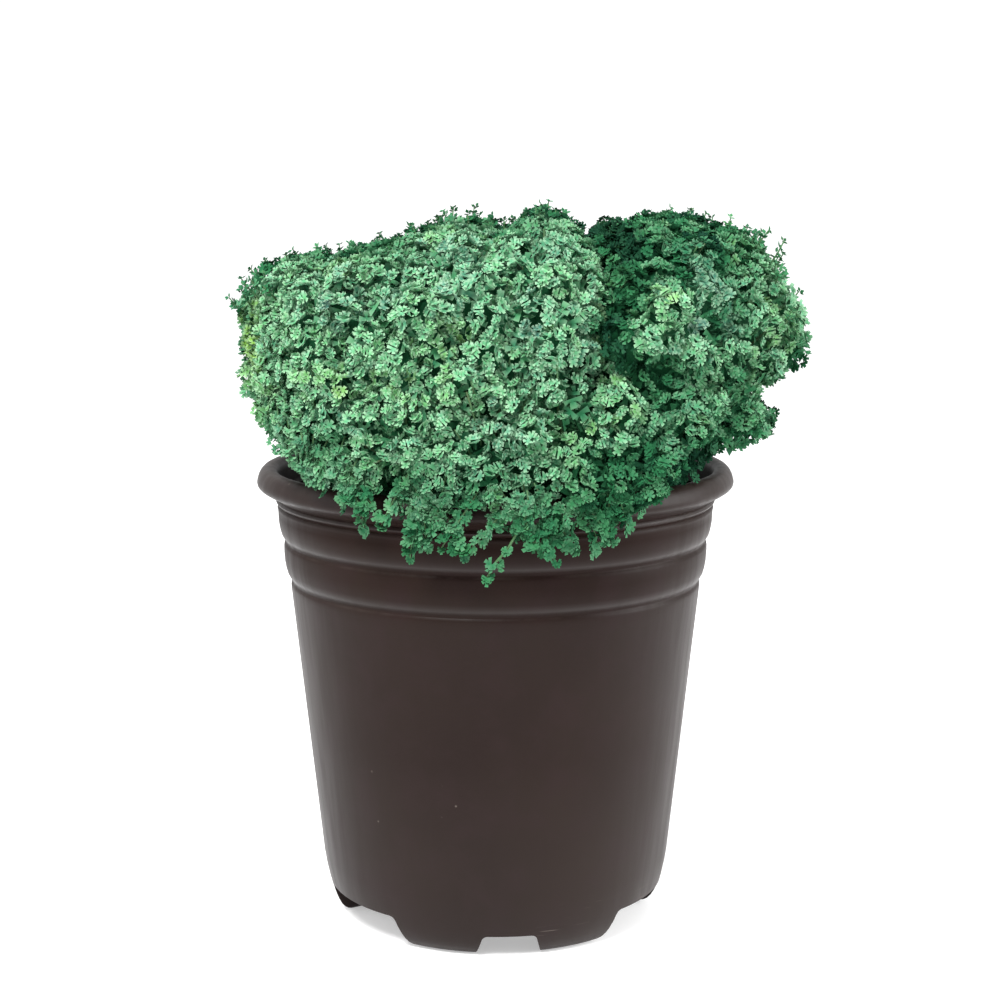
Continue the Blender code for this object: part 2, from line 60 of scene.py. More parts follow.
# Pot
TAPER_END = (61.4 * MM, 22.0 * MM)
FLOOR = (12.2 * MM, 13.8 * MM)
FEET = 6
NOTCHES = ((21.2 * MM, 8.1 * MM), (42.6 * MM, 11.5 * MM))
NOTCH_LEAN = 1.2 * MM
NOTCH_ROUND = 2.0 * MM
NOTCH_OUTSIDE = 64.0 * MM
NOTCH_LENGTH = 30.0 * MM
NOTCH_BELOW = 1.0 * MM
FIRST_NOTCH = 4.8
DRAIN_RADIUS = 4.0 * MM
DRAIN_CIRCLE = 34.0 * MM
DRAIN_LENGTH = 6.0 * MM
POT_STEPS = 144

# Potting mix: its crown is in mm, and the surface falls by 1 mm in each slope of mm outward
MIX_TOP = 138.0 * MM
MIX_CROWN = 139.5
MIX_SLOPE = 47.0
MIX_STEPS = 96
CHIP_CIRCLE = 69.0 * MM
CHIP_SEED = 11
CHIPS = 420
PERLITE = 90

# The mound of leaves, round its heart
HEART = Vector((6.0, -2.0, 192.0)) * MM
HALF_WIDTH = 97.0 * MM
HALF_DEPTH = 95.0 * MM
HALF_TOP = 53.0 * MM
HALF_UNDER = 33.0 * MM
FRONT_UNDER = 120.0 * MM
PLAN_POWER = 2.3
TOP_POWER = 4.8
UNDER_POWER = 2.2
LEFT_FALL = 12.0 * MM
RIGHT_RISE = 4.0 * MM
TILT_SPREAD = 60.0
RIGHT_LOBE = 8.0 * MM
LOBE_SPREAD = 36.0
LOBE_LEVEL = (0.17, 0.25)
SWELLS = 3.0 * MM
SWELL_SIZE = 40.0 * MM
LUMPS = 8.0 * MM
LUMP_SIZE = 16.0 * MM
LUMP_TOP = 0.1

# The valley between the two lobes
VALLEY_DEPTH = 15.0 * MM
VALLEY_WIDTH = 8.0 * MM
VALLEY_BENDS = 9.0 * MM
VALLEY_BEND_SIZE = 17.0 * MM
VALLEY_END = 184.0 * MM
VALLEY_FADE = 16.0 * MM

# In mm: where the valley is at a height, how far out the leaves reach on the left and right at a height,
# and how much the top is raised along its width
VALLEY_PATH = ((160, 58), (186, 51), (196, 46), (203, 41), (222, 39), (235, 39), (260, 39.5))
LEFT_EDGE = (
    (160, 70), (166, 74), (173, 77), (180, 80), (187, 82), (195, 86), (202, 88), (222, 88), (230, 84),
    (240, 77),
)
RIGHT_EDGE = (
    (161, 68), (166, 78), (170, 89), (174, 101), (180, 94), (185, 84), (190, 85), (194, 94), (198, 102),
    (205, 109), (213, 110), (218, 104), (224, 98), (232, 96), (240, 91), (245, 82), (250, 66), (256, 40),
)
RIGHT_SLACK = 1.5 * MM
TOP_LIFTS = (
    (-90, 7), (-80, 2), (-70, -7), (-58, -13), (-50, -10), (-38, -4), (-25, 1), (-15, 6), (-5, -1), (5, -5),
    (15, 3), (22, 3), (29, -5), (36, -18), (40, -21), (45, -12), (52, -5), (60, -3), (70, -3), (80, -4),
    (90, -1), (100, 1),
)

# The bunches that the leaves stand in, and the tufts on them
BUNCH_TRIALS = 8000
BUNCH_GAP = 8.5 * MM
BUNCH_SIZE = (5.5 * MM, 9.0 * MM)
BUNCH_SINK = 5.0 * MM
BUNCH_SPAN = 105.0
BUNCH_ROUGHNESS = 0.22
LEAF_INSET = 2.4 * MM
TUFT_GAP = 2.8 * MM
TUFT_SIZE = (2.4 * MM, 3.2 * MM)
TUFT_CROWDING = 7.5
SHADE_START = 6.5 * MM
SHADE_SPAN = 17.0 * MM

# Larger leaves in a layer below them, darkened by painted shade
INNER_TRIALS = 12000
INNER_GAP = 3.5 * MM
INNER_DEPTH = 8.5 * MM
INNER_SIZE = (2.8, 3.9)
INNER_FLOOR = 148.0 * MM
INNER_RADIUS = 70.0 * MM

# The core, and small leaves on its side
CORE_DEPTH = 14.0 * MM
CORE_FLOOR = 152.0 * MM
CORE_ROUGHNESS = 2.0 * MM
CORE_FLARE = 2.5
CORE_SHADE = 1.2
COVER_TRIALS = 9000
COVER_GAP = 2.6 * MM
COVER_HEIGHTS = (153.5 * MM, 196.0 * MM)
COVER_INSIDE = 58.0 * MM
COVER_SIZE = (2.5, 3.4)

# Where painted shade darkens the leaves: low down, at the top, on the right, behind, in the valley, in
# hollows and at a few spots in mm, each with its width and weight. Painted light makes them lighter on the
# front of the left lobe
SHADE_BELOW = 197.0 * MM
SHADE_ABOVE = 224.0 * MM
SHADE_RIGHT = 40.0 * MM
SHADE_BEHIND = -16.0 * MM
LOW_SPAN = 36.0 * MM
HIGH_SPAN = 16.0 * MM
RIGHT_SPAN = 20.0 * MM
BEHIND_SPAN = 30.0 * MM
BEHIND_BENDS = 14.0 * MM
SHADE_VALLEY_WIDTH = 7.0 * MM
LOW_MOST = 1.05
HIGH_WEIGHT = 0.65
RIGHT_WEIGHT = 0.42
BEHIND_WEIGHT = 0.80
VALLEY_WEIGHT = 1.25
HOLLOW_WEIGHT = 1.1
SHADE_SPOTS = (
    ((-80, -10, 230), 20, 0.80), ((-37, -50, 233), 15, 0.70), ((-20, -86, 202), 8, 0.90),
    ((-13, -80, 218), 7, 0.70), ((56, -62, 214), 9, 0.50), ((41, -76, 203), 10, 0.50),
)
LIT_FRONT = Vector((-18.0, -84.0, 208.0)) * MM
LIT_FRONT_WIDTH = 42.0 * MM
LIT_FRONT_WEIGHT = 0.65
DARKEST_SHADE = 1.5

# A patch of yellow-green growth low on the left
YELLOW_SPOT = Vector((-84.0, -30.0, 206.0)) * MM
YELLOW_WIDTH = 16.0 * MM

# Spread of a leaf's lobes
LOBE_SPAN = math.radians(215.0)

# How low leaves stand at an azimuth in degrees, in mm: over the rim at the sides, and down in front of it
SKIRT_EDGE = (
    (-180, 174), (-60, 174), (-51, 171), (-46, 168), (-43, 163), (-37, 161), (-33, 157), (-23, 153),
    (-13, 150), (0, 150), (12, 149), (22, 149), (28, 153), (34, 159), (40, 165), (46, 171), (52, 173),
    (60, 174), (180, 174),
)
UNDER_SPREAD = 50.0
RIM_CLEAR = 86.5 * MM
LEAF_FLOOR = 167.0 * MM

# Shoots that hang below the skirt: their azimuths, and the height of their lowest leaves in mm
HANGING = (
    (-47, 167), (-43, 161), (-38, 158), (-33, 154), (-28, 148), (-24, 149), (-17.5, 139.5), (-14, 146),
    (-11, 143), (-6, 141), (4, 148), (8, 145), (12.5, 139), (17, 142), (21, 142), (25, 145), (28, 149),
    (31, 153), (36, 158), (41, 165), (45, 169),
)
STRANDS = 2
HANGING_SIZES = (2.2, 3.6)
HANGING_SHADE = 0.95

# Two shoots given one by one, each place as azimuth, radius and height in mm: a short one, and the longest
# one
SHORT_SHOOT = ((-14.5, 88.0, 152.0), (-14.0, 88.2, 149.0), (-13.5, 88.0, 146.0))
LONG_SHOOT = (
    (7.0, 91.0, 160.0), (5.0, 90.5, 153.0), (2.5, 90.0, 146.0), (0.0, 89.5, 141.5), (-1.5, 89.0, 137.0),
)

# Young shoots that stand out of the top, with whorls at shares of their length, of a size in mm
SHOOT_TRIALS = 3600
SHOOTS = 210
SHOOT_GAP = 5.2 * MM
SHOOT_ROOT = 3.5 * MM
SHOOTS_BEHIND = 5.0 * MM
SHOOTS_LEFT = -72.0 * MM
SHOOTS_RIGHT = 84.0 * MM
WHORLS = ((0.45, 2.3), (0.62, 2.3), (0.8, 2.1), (1.0, 1.8))

# Main stems and their branches, and in mm how far out and how high a trailing spray's stem lies over the rim
STEM_RISE = 17.0 * MM
STEM_RADII = (1.2 * MM, 0.9 * MM)
BRANCHES = 14
BRANCH_RADII = (0.6 * MM, 0.35 * MM)
OVER_RIM = (80.0, 166.0)


def on_circle(radius, azimuth, height=0.0):
    """A point at an azimuth in degrees from the front, towards +X."""
    turn = math.radians(azimuth)
    return Vector((radius * math.sin(turn), -radius * math.cos(turn), height))


def azimuth_of(direction):
    """The azimuth in degrees from the front of a direction or a place."""
    return math.degrees(math.atan2(direction.x, -direction.y))


def bell(distance, width):
    """1 at the middle and near 0 past the width."""
    return math.exp(-((distance / width) ** 2))


def rising(distance, span, most=1.0):
    """A share that goes from 0 up to a most, and reaches 1 after a span."""
    return max(0.0, min(most, distance / span))


def waver(place, size, shift=0.0):
    """Soft noise from -1 to 1 of a size, which another shift makes different."""
    return noise.noise(place / size + UP * shift)


def between(places, here):
    """The value at a place, on straight lines between (place, value) pairs."""
    for (first, low), (last, high) in zip(places, places[1:]):
        if here < last:
            share = max(0.0, (here - first) / (last - first))
            return low + (high - low) * share
    return places[-1][1]


def blank(name):
    """An empty mesh."""
    return bpy.data.meshes.new(name)


def as_mesh(name, shape):
    """A mesh of a shape, which is used up."""
    mesh = blank(name)
    shape.to_mesh(mesh)
    shape.free()
    return mesh


def shown(name, data):
    """An object in the scene, for a mesh, a light or a camera."""
    made = bpy.data.objects.new(name, data)
    bpy.context.scene.collection.objects.link(made)
    return made


def held(name, shape):
    """An object in the scene, made from a shape."""
    return shown(name, as_mesh(name, shape))


def piece(name, shape, finishes, *nodes, slot):
    """Turns a shape round the pot's axis into a piece of the object that stands for some nodes."""
    made = held(name, shape)
    made.data.transform(Matrix.Translation(-PLANT_MIDDLE))
    for finish in finishes:
        made.data.materials.append(finish)
    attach(made, "root")
    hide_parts(*nodes)
    return made


# Node helpers
class Nodes:
    """A node tree that is filled in one line a node."""

    def __init__(self, tree):
        self.tree = tree

    def add(self, kind, settings=None, **inputs):
        """A node with some settings, and inputs by name or, as i0, i1 and so on, by number."""
        node = self.tree.nodes.new(kind)
        for key, value in (settings or {}).items():
            setattr(node, key, value)
        for key, value in inputs.items():
            numbered = key[0] == "i" and key[1:].isdigit()
            self.feed(node.inputs[int(key[1:]) if numbered else key.replace("_", " ")], value)
        return node

    def feed(self, socket, value):
        """Links a socket to another one, or sets it to a value."""
        if isinstance(value, bpy.types.NodeSocket):
            self.tree.links.new(value, socket)
        else:
            socket.default_value = value

    def math(self, operation, first, second=0.0, clamp=False):
        """One operation on two values."""
        settings = {"operation": operation, "use_clamp": clamp}
        return self.add("ShaderNodeMath", settings, i0=first, i1=second).outputs[0]

    def mix(self, factor, first, second):
        """A first colour that goes over to a second one as a factor goes from 0 to 1."""
        node = self.tree.nodes.new("ShaderNodeMix")
        node.data_type = "RGBA"
        node.clamp_factor = True
        self.feed(node.inputs[0], factor)
        self.feed(node.inputs[6], first)
        self.feed(node.inputs[7], second)
        return node.outputs[2]

    def span(self, value, low, high, out_low=0.0, out_high=1.0):
        """A value between two limits moved to between two others."""
        limits = {"i1": low, "i2": high, "i3": out_low, "i4": out_high}
        return self.add("ShaderNodeMapRange", {"clamp": True}, i0=value, **limits).outputs[0]

    def ramp(self, value, stops):
        """A grey value that follows (place, value) stops from 0 to 1."""
        node = self.add("ShaderNodeValToRGB", None, Fac=value)
        elements = node.color_ramp.elements
        for number, (at, grey) in enumerate(stops):
            element = elements[number] if number < 2 else elements.new(at)
            element.position = at
            element.color = (grey, grey, grey, 1.0)
        return node.outputs[0]

    def noise(self, place, scale, detail=3.0, roughness=0.55):
        """Soft noise with finer noise in it."""
        inputs = {"Vector": place, "Scale": scale, "Detail": detail, "Roughness": roughness}
        return self.add("ShaderNodeTexNoise", None, **inputs).outputs[0]

    def stretched(self, place, scale):
        """A place scaled by its own number along each axis."""
        return self.add("ShaderNodeMapping", None, Vector=place, Scale=scale).outputs[0]

    def attribute(self, name):
        """A value that the mesh carries at its corners."""
        return self.add("ShaderNodeAttribute", {"attribute_name": name}).outputs["Fac"]

    def bump(self, height, strength, distance):
        """A normal that follows a relief."""
        inputs = {"Strength": strength, "Distance": distance, "Height": height}
        return self.add("ShaderNodeBump", None, **inputs).outputs[0]


def new_group(name, inputs, outputs):
    """A shader node group with named sockets, and the helper that fills it."""
    group = bpy.data.node_groups.new(name, "ShaderNodeTree")
    for label, kind, value in inputs:
        made = group.interface.new_socket(label, in_out="INPUT", socket_type=kind)
        if value is not None:
            made.default_value = value
    for label, kind in outputs:
        group.interface.new_socket(label, in_out="OUTPUT", socket_type=kind)
    nodes = Nodes(group)
    source = group.nodes.new("NodeGroupInput")
    sink = group.nodes.new("NodeGroupOutput")
    return group, nodes, source.outputs, sink.inputs


def new_material(name, **constants):
    """A material, the helper that fills it, its shader, and the place on the object."""
    made = bpy.data.materials.new(name)
    made.use_nodes = True
    nodes = Nodes(made.node_tree)
    shader = made.node_tree.nodes["Principled BSDF"]
    for key, value in constants.items():
        shader.inputs[key.replace("_", " ")].default_value = value
    place = nodes.add("ShaderNodeTexCoord").outputs["Object"]
    return made, nodes, shader, place


FLOAT = "NodeSocketFloat"
COLOUR = "NodeSocketColor"
VECTOR = "NodeSocketVector"


def colour(red, green, blue):
    """An opaque colour."""
    return (red, green, blue, 1.0)


def mottle_group():
    """Soft patches of a second and a third colour over a first, at two sizes."""
    group, nodes, given, out = new_group(
        "mottle",
        [("Place", VECTOR, None), ("First", COLOUR, None), ("Second", COLOUR, None), ("Third", COLOUR, None),
         ("Scale", FLOAT, 20.0)],
        [("Color", COLOUR), ("Mask", FLOAT)],
    )
    large = nodes.noise(given["Place"], given["Scale"], 2.0)
    small = nodes.noise(given["Place"], nodes.math("MULTIPLY", given["Scale"], 5.0), 4.0)
    mask = nodes.span(large, 0.35, 0.65)
    first = nodes.mix(mask, given["First"], given["Second"])
    nodes.feed(out["Color"], nodes.mix(nodes.span(small, 0.45, 0.8), first, given["Third"]))
    nodes.feed(out["Mask"], mask)
    return group


def use(nodes, group, **inputs):
    """Places a node group in a material with its own values."""
    return nodes.add("ShaderNodeGroup", {"node_tree": group}, **inputs).outputs


MOTTLE = mottle_group()


# How strongly the wall shines at a height in mm: raised on the lips of the bands and beads to paint highlight
# lines there, raised towards the foot, and lowered just below the lips to paint shade.
# A ramp holds values up to 1, so the shares are divided by the ceiling in it, and multiplied by it after it
POT_GLOSS = 0.095
GLOSS_CEILING = 6.0
PAINTED_LIP_GLOSS = (
    (0, 1.5), (30, 1.4), (70, 1.0), (110, 1.0), (114.5, 1.0), (119.4, 0.8), (120.9, 0.8), (122.0, 2.7),
    (122.9, 1.6), (124.4, 0.8), (129.0, 0.5), (133.2, 0.5), (134.9, 0.6), (136.2, 2.6), (137.1, 1.4),
    (138.8, 0.8), (143.0, 0.3), (145.2, 0.4), (145.8, 0.9), (146.5, 0.4), (147.8, 0.4), (148.5, 2.0),
    (149.4, 0.8), (151.0, 0.6), (153.0, 1.0), (160, 1.1),
)


def pot_finish():
    """Dark brown plastic with painted highlights on its lips and painted shade below them, with draw lines,
    dust, scuffs and specks.
    """
    made, nodes, shader, place = new_material("pot_plastic_finish")
    base = use(
        nodes, MOTTLE, Place=place, Scale=14.0, First=colour(0.0098, 0.0050, 0.0040),
        Second=colour(0.0122, 0.0068, 0.0052), Third=colour(0.0128, 0.0064, 0.0061),
    )
    height = nodes.add("ShaderNodeSeparateXYZ", None, Vector=place).outputs[2]
    stops = [(at / 160.0, share / GLOSS_CEILING) for at, share in PAINTED_LIP_GLOSS]
    # Painted highlight and painted shade: the wall's shininess follows the height
    painted_lip_gloss = nodes.ramp(nodes.span(height, 0.0, 0.160), stops)
    painted_shine = nodes.math("MULTIPLY", painted_lip_gloss, GLOSS_CEILING * POT_GLOSS)
    nodes.feed(shader.inputs["Specular IOR Level"], painted_shine)
    normal = nodes.add("ShaderNodeNewGeometry").outputs["Normal"]
    upward = nodes.add("ShaderNodeSeparateXYZ", None, Vector=normal).outputs[2]
    # Draw lines down the wall and fine texture
    streaks = nodes.noise(nodes.stretched(place, (240.0, 240.0, 9.0)), 1.0, 3.0)
    grain = nodes.noise(place, 2600.0, 2.0)
    # Dust that lies on what faces up
    dusty = nodes.span(nodes.noise(place, 160.0), 0.35, 0.7)
    dust = nodes.math("MULTIPLY", nodes.span(upward, 0.25, 0.95), dusty)
    # Scuffs along the foot and a few specks
    flat = nodes.stretched(place, (60.0, 60.0, 1500.0))
    scuff_lines = nodes.span(nodes.noise(flat, 1.0, 2.0), 0.66, 0.74)
    scuff_zone = nodes.math("MULTIPLY", nodes.span(height, 0.004, 0.008), nodes.span(height, 0.020, 0.012))
    scuff_patch = nodes.span(nodes.noise(place, 38.0, 2.0), 0.52, 0.62)
    scuffs = nodes.math("MULTIPLY", nodes.math("MULTIPLY", scuff_lines, scuff_zone), scuff_patch)
    cells = nodes.add("ShaderNodeTexVoronoi", {"feature": "F1"}, Vector=place, Scale=150.0)
    speckled = nodes.span(nodes.noise(place, 90.0, 1.0), 0.62, 0.66)
    specks = nodes.math("MULTIPLY", nodes.span(cells.outputs["Distance"], 0.075, 0.045), speckled)
    rubbed = nodes.math("MULTIPLY", scuffs, 0.6)
    worn = nodes.math("ADD", nodes.math("MULTIPLY", dust, 0.10), rubbed, clamp=True)
    worn = nodes.math("ADD", worn, nodes.math("MULTIPLY", specks, 0.35), clamp=True)
    nodes.feed(shader.inputs["Base Color"], nodes.mix(worn, base["Color"], colour(0.17, 0.145, 0.125)))
    rough = nodes.math("ADD", nodes.span(streaks, 0.3, 0.7, 0.36, 0.46), nodes.math("MULTIPLY", worn, 0.5))
    nodes.feed(shader.inputs["Roughness"], rough)
    relief = nodes.math("ADD", nodes.math("MULTIPLY", grain, 0.5), nodes.math("MULTIPLY", streaks, 0.8))
    nodes.feed(shader.inputs["Normal"], nodes.bump(relief, 0.12, 0.3 * MM))
    return made


def mix_finish():
    """Dark moist peat, paler bark and white perlite."""
    made, nodes, shader, place = new_material("potting_mix_finish", Specular_IOR_Level=0.25)
    base = use(
        nodes, MOTTLE, Place=place, Scale=90.0, First=colour(0.016, 0.009, 0.005),
        Second=colour(0.034, 0.019, 0.010), Third=colour(0.075, 0.045, 0.024),
    )
    pale = nodes.attribute("tone")
    bark = nodes.mix(nodes.span(pale, 0.0, 0.5), base["Color"], colour(0.085, 0.045, 0.022))
    whitened = nodes.mix(nodes.span(pale, 0.8, 1.0), bark, colour(0.62, 0.60, 0.55))
    nodes.feed(shader.inputs["Base Color"], whitened)
    nodes.feed(shader.inputs["Roughness"], nodes.span(base["Mask"], 0.0, 1.0, 0.8, 0.98))
    crumbs = nodes.noise(place, 700.0, 6.0, 0.7)
    nodes.feed(shader.inputs["Normal"], nodes.bump(crumbs, 0.8, 1.0 * MM))
    return made


def leaf_finish():
    """Blue-green leaves, yellow-green at a high tone, with painted highlight on their edges and painted shade
    where their shade value is high.
    """
    made, nodes, shader, place = new_material("thyme_leaf_finish")
    rim = nodes.attribute("rim")
    tone = nodes.attribute("tone")
    deep = nodes.attribute("deep")
    patches = use(
        nodes, MOTTLE, Place=place, Scale=45.0, First=colour(0.058, 0.244, 0.108),
        Second=colour(0.071, 0.268, 0.098), Third=colour(0.055, 0.234, 0.142),
    )
    young = nodes.mix(nodes.span(tone, 0.55, 1.0), patches["Color"], colour(0.15, 0.32, 0.040))
    middle = nodes.mix(nodes.span(tone, 0.40, 0.05), young, colour(0.016, 0.100, 0.076))
    # Painted highlight: the leaf edges and lobe tips turn paler than the middles, as where they catch the
    # light, also on leaves in painted shade
    pale = nodes.mix(0.62, middle, colour(0.266, 0.388, 0.262))
    painted_edge_highlight = nodes.mix(nodes.span(rim, 0.15, 0.95), middle, pale)
    edge_highlight_in_shade = nodes.span(rim, 0.15, 0.95)
    dark = nodes.mix(edge_highlight_in_shade, colour(0.008, 0.072, 0.026), colour(0.018, 0.098, 0.040))
    # Painted shade: a dark green where the shade value is high, and darker still past 1.05
    darkest_shade = nodes.mix(nodes.span(deep, 1.05, DARKEST_SHADE), dark, colour(0.003, 0.024, 0.012))
    shaded = nodes.mix(nodes.math("MULTIPLY", deep, 0.93, clamp=True), painted_edge_highlight, darkest_shade)
    veins = nodes.noise(place, 1800.0, 3.0)
    veined = nodes.mix(nodes.span(veins, 0.35, 0.75, 0.0, 0.16), shaded, middle)
    nodes.feed(shader.inputs["Base Color"], veined)
    # Weaker reflection where the leaves are in painted shade
    nodes.feed(shader.inputs["Specular IOR Level"], nodes.span(deep, 0.0, 0.8, 0.30, 0.04))
    nodes.feed(shader.inputs["Roughness"], nodes.span(veins, 0.3, 0.7, 0.48, 0.66))
    nodes.feed(shader.inputs["Normal"], nodes.bump(veins, 0.25, 0.3 * MM))
    return made


def stem_finish():
    """Green stems with fine ridges."""
    made, nodes, shader, place = new_material("thyme_stem_finish", Specular_IOR_Level=0.3)
    base = use(
        nodes, MOTTLE, Place=place, Scale=60.0, First=colour(0.030, 0.110, 0.035),
        Second=colour(0.045, 0.080, 0.030), Third=colour(0.035, 0.120, 0.045),
    )
    nodes.feed(shader.inputs["Base Color"], base["Color"])
    ridges = nodes.noise(nodes.stretched(place, (900.0, 900.0, 200.0)), 1.0, 3.0)
    nodes.feed(shader.inputs["Roughness"], nodes.span(ridges, 0.3, 0.7, 0.55, 0.8))
    nodes.feed(shader.inputs["Normal"], nodes.bump(ridges, 0.4, 0.2 * MM))
    return made


def floor_finish():
    """A nearly white floor that glows a little, so that it meets the sky without an edge."""
    white = colour(1.0, 1.0, 1.0)
    made, nodes, shader, place = new_material(
        "floor_finish", Specular_IOR_Level=0.1, Emission_Strength=0.40, Emission_Color=white,
    )
    shade = nodes.noise(place, 4.0, 2.0)
    pale = nodes.mix(shade, colour(0.68, 0.68, 0.68), colour(0.70, 0.70, 0.70))
    nodes.feed(shader.inputs["Base Color"], pale)
    nodes.feed(shader.inputs["Roughness"], nodes.span(shade, 0.0, 1.0, 0.7, 0.8))
    return made


# Pot
def in_metres(profile):
    """A profile whose radii and heights are in mm, in the scene's metres."""
    return [(radius * MM, height * MM) for radius, height in profile]


def outer_profile():
    """The outside from the inner lip over the rolled rim and down to the foot's inner side."""
    rim = [
        (73.8, 150.2), (74.4, 150.8), (74.7, 151.8), (75.4, 156.2), (75.8, 158.0), (76.4, 159.1),
        (77.4, 159.8), (78.6, 160.0), (79.8, 159.9), (80.9, 159.4), (81.8, 158.5), (82.5, 157.2),
        (82.9, 155.9), (83.1, 154.8), (82.9, 153.9), (82.3, 153.2), (81.1, 152.4), (79.7, 151.7),
        (78.3, 151.0),
    ]
    bead = [
        (77.3, 150.4), (76.5, 149.9), (76.1, 149.4), (76.5, 148.9), (76.7, 148.3), (76.4, 147.7),
        (75.8, 147.3), (75.6, 146.9), (76.0, 146.4), (76.2, 145.8),
    ]
    upper_band = [
        (76.0, 145.1), (75.9, 143.3), (75.8, 141.2), (75.6, 139.8), (75.3, 138.2), (74.9, 136.8),
        (74.3, 135.7), (73.7, 135.0), (73.4, 134.4), (73.4, 133.9), (73.7, 133.5), (74.0, 133.0),
    ]
    lower_band = [
        (74.1, 132.3), (74.1, 130.4), (73.9, 127.4), (73.5, 125.0), (73.0, 123.2), (72.3, 121.9),
        (71.7, 121.1), (71.3, 120.5), (71.2, 120.0), (71.4, 119.6), (71.7, 119.1), (71.8, 118.4),
        (71.7, 117.2),
    ]
    points = in_metres(rim + bead + upper_band + lower_band)
    start = Vector(points[-1])
    steps = 12
    points += [tuple(start.lerp(Vector(TAPER_END), number / steps)) for number in range(1, steps + 1)]
    foot = [
        (60.7, 17.8), (59.8, 13.7), (58.9, 10.3), (58.0, 7.5), (57.0, 5.2), (56.0, 3.4), (54.8, 1.9),
        (53.5, 0.9), (52.1, 0.3), (50.6, 0.0), (44.6, 0.0), (44.0, 12.2),
    ]
    return points + in_metres(foot)


def inner_profile():
    """The inside from the middle of the floor up the wall to just below the inner lip."""
    return in_metres([
        (53.5, 13.8), (55.6, 14.6), (57.4, 16.6), (58.9, 20.2), (59.9, 25.0), (69.4, 112.0), (69.8, 118.0),
        (70.2, 121.0), (71.9, 124.5), (72.4, 131.0), (72.2, 134.6), (73.6, 138.0), (74.1, 141.5),
        (74.1, 148.0),
    ])


def spun(profile, steps, closed):
    """A shape turned round the pot's axis."""
    shape = bmesh.new()
    row = [shape.verts.new((radius, 0.0, height)) for radius, height in profile]
    pairs = list(zip(row, row[1:] + row[:1])) if closed else list(zip(row, row[1:]))
    edges = [shape.edges.new(pair) for pair in pairs]
    bmesh.ops.spin(
        shape, geom=row + edges, cent=(0.0, 0.0, 0.0), axis=(0.0, 0.0, 1.0), dvec=(0.0, 0.0, 0.0),
        angle=math.tau, steps=steps, use_merge=True, use_duplicate=False,
    )
    bmesh.ops.remove_doubles(shape, verts=shape.verts, dist=0.00001)
    bmesh.ops.recalc_face_normals(shape, faces=shape.faces)
    return shape


def arc(middle, radius, start, end, steps=4):
    """Points on an arc between two angles in degrees."""
    turns = [math.radians(start + (end - start) * number / steps) for number in range(steps + 1)]
    return [(middle[0] + radius * math.cos(turn), middle[1] + radius * math.sin(turn)) for turn in turns]


def notch_shape(azimuth, width, height):
    """What is cut between two feet: rounded off below and in its upper corners, and pushed inward."""
    edge = width / 2 + NOTCH_ROUND
    top = width / 2 - NOTCH_LEAN - NOTCH_ROUND
    half = [(edge, -NOTCH_BELOW)] + arc((edge, NOTCH_ROUND), NOTCH_ROUND, 270.0, 190.0)
    half += arc((top, height - NOTCH_ROUND), NOTCH_ROUND, 10.0, 90.0)
    outline = [(-across, up) for across, up in half] + half[::-1]
    shape = bmesh.new()
    row = [shape.verts.new((across, -NOTCH_OUTSIDE, up)) for across, up in outline]
    pushed = bmesh.ops.extrude_face_region(shape, geom=[shape.faces.new(row)])
    moved = [item for item in pushed["geom"] if isinstance(item, bmesh.types.BMVert)]
    bmesh.ops.translate(shape, verts=moved, vec=(0.0, NOTCH_LENGTH, 0.0))
    bmesh.ops.recalc_face_normals(shape, faces=shape.faces)
    turned = Matrix.Rotation(math.radians(azimuth), 3, "Z")
    bmesh.ops.rotate(shape, verts=shape.verts, cent=(0.0, 0.0, 0.0), matrix=turned)
    return shape


def build_pot(finish):
    """The pot: its wall and floor turned round the axis, with the notches and drain holes cut out."""
    floor_low, floor_high = FLOOR
    profile = outer_profile() + [(0.0, floor_low), (0.0, floor_high)] + inner_profile()
    body = held("pot_body", spun(profile, POT_STEPS, closed=True))
    tools = []
    for foot in range(FEET):
        azimuth = FIRST_NOTCH + foot * 360.0 / FEET
        tools.append(held("notch", notch_shape(azimuth, *NOTCHES[foot % 2])))
        drain = bmesh.new()
        middle = on_circle(DRAIN_CIRCLE, azimuth, (floor_low + floor_high) / 2)
        bmesh.ops.create_cone(
            drain, cap_ends=True, segments=24, radius1=DRAIN_RADIUS, radius2=DRAIN_RADIUS,
            depth=DRAIN_LENGTH, matrix=Matrix.Translation(middle),
        )
        tools.append(held("drain", drain))
    for tool in tools:
        cut = body.modifiers.new("cut", "BOOLEAN")
        cut.operation = "DIFFERENCE"
        cut.solver = "EXACT"
        cut.object = tool
    bpy.context.view_layer.update()
    finished = body.evaluated_get(bpy.context.evaluated_depsgraph_get())
    mesh = bpy.data.meshes.new_from_object(finished)
    for used in tools + [body]:
        bpy.data.objects.remove(used)
    mesh.shade_smooth()
    mesh.set_sharp_from_angle(angle=math.radians(40.0))
    shape = bmesh.new()
    shape.from_mesh(mesh)
    return piece("nursery_pot", shape, [finish], "pot", slot="pot_plastic")


# Potting mix
def chip_template(name, corners, squash):
    """A small angular lump."""
    shape = bmesh.new()
    tone = shape.verts.layers.float.new("tone")
    if corners == 8:
        bmesh.ops.create_cube(shape, size=1.0)
        bmesh.ops.bevel(
            shape, geom=shape.edges[:], offset=0.12, offset_type="OFFSET", affect="EDGES", segments=1,
            profile=0.5, material=-1,
        )
    else:
        bmesh.ops.create_icosphere(shape, subdivisions=1, radius=0.5)
    for corner in shape.verts:
        corner.co += 0.28 * noise.noise_vector(corner.co * 2.3 + Vector((squash, 0.0, 0.0)))
        corner.co.z *= squash
        corner[tone] = 0.0
    return as_mesh(name, shape)


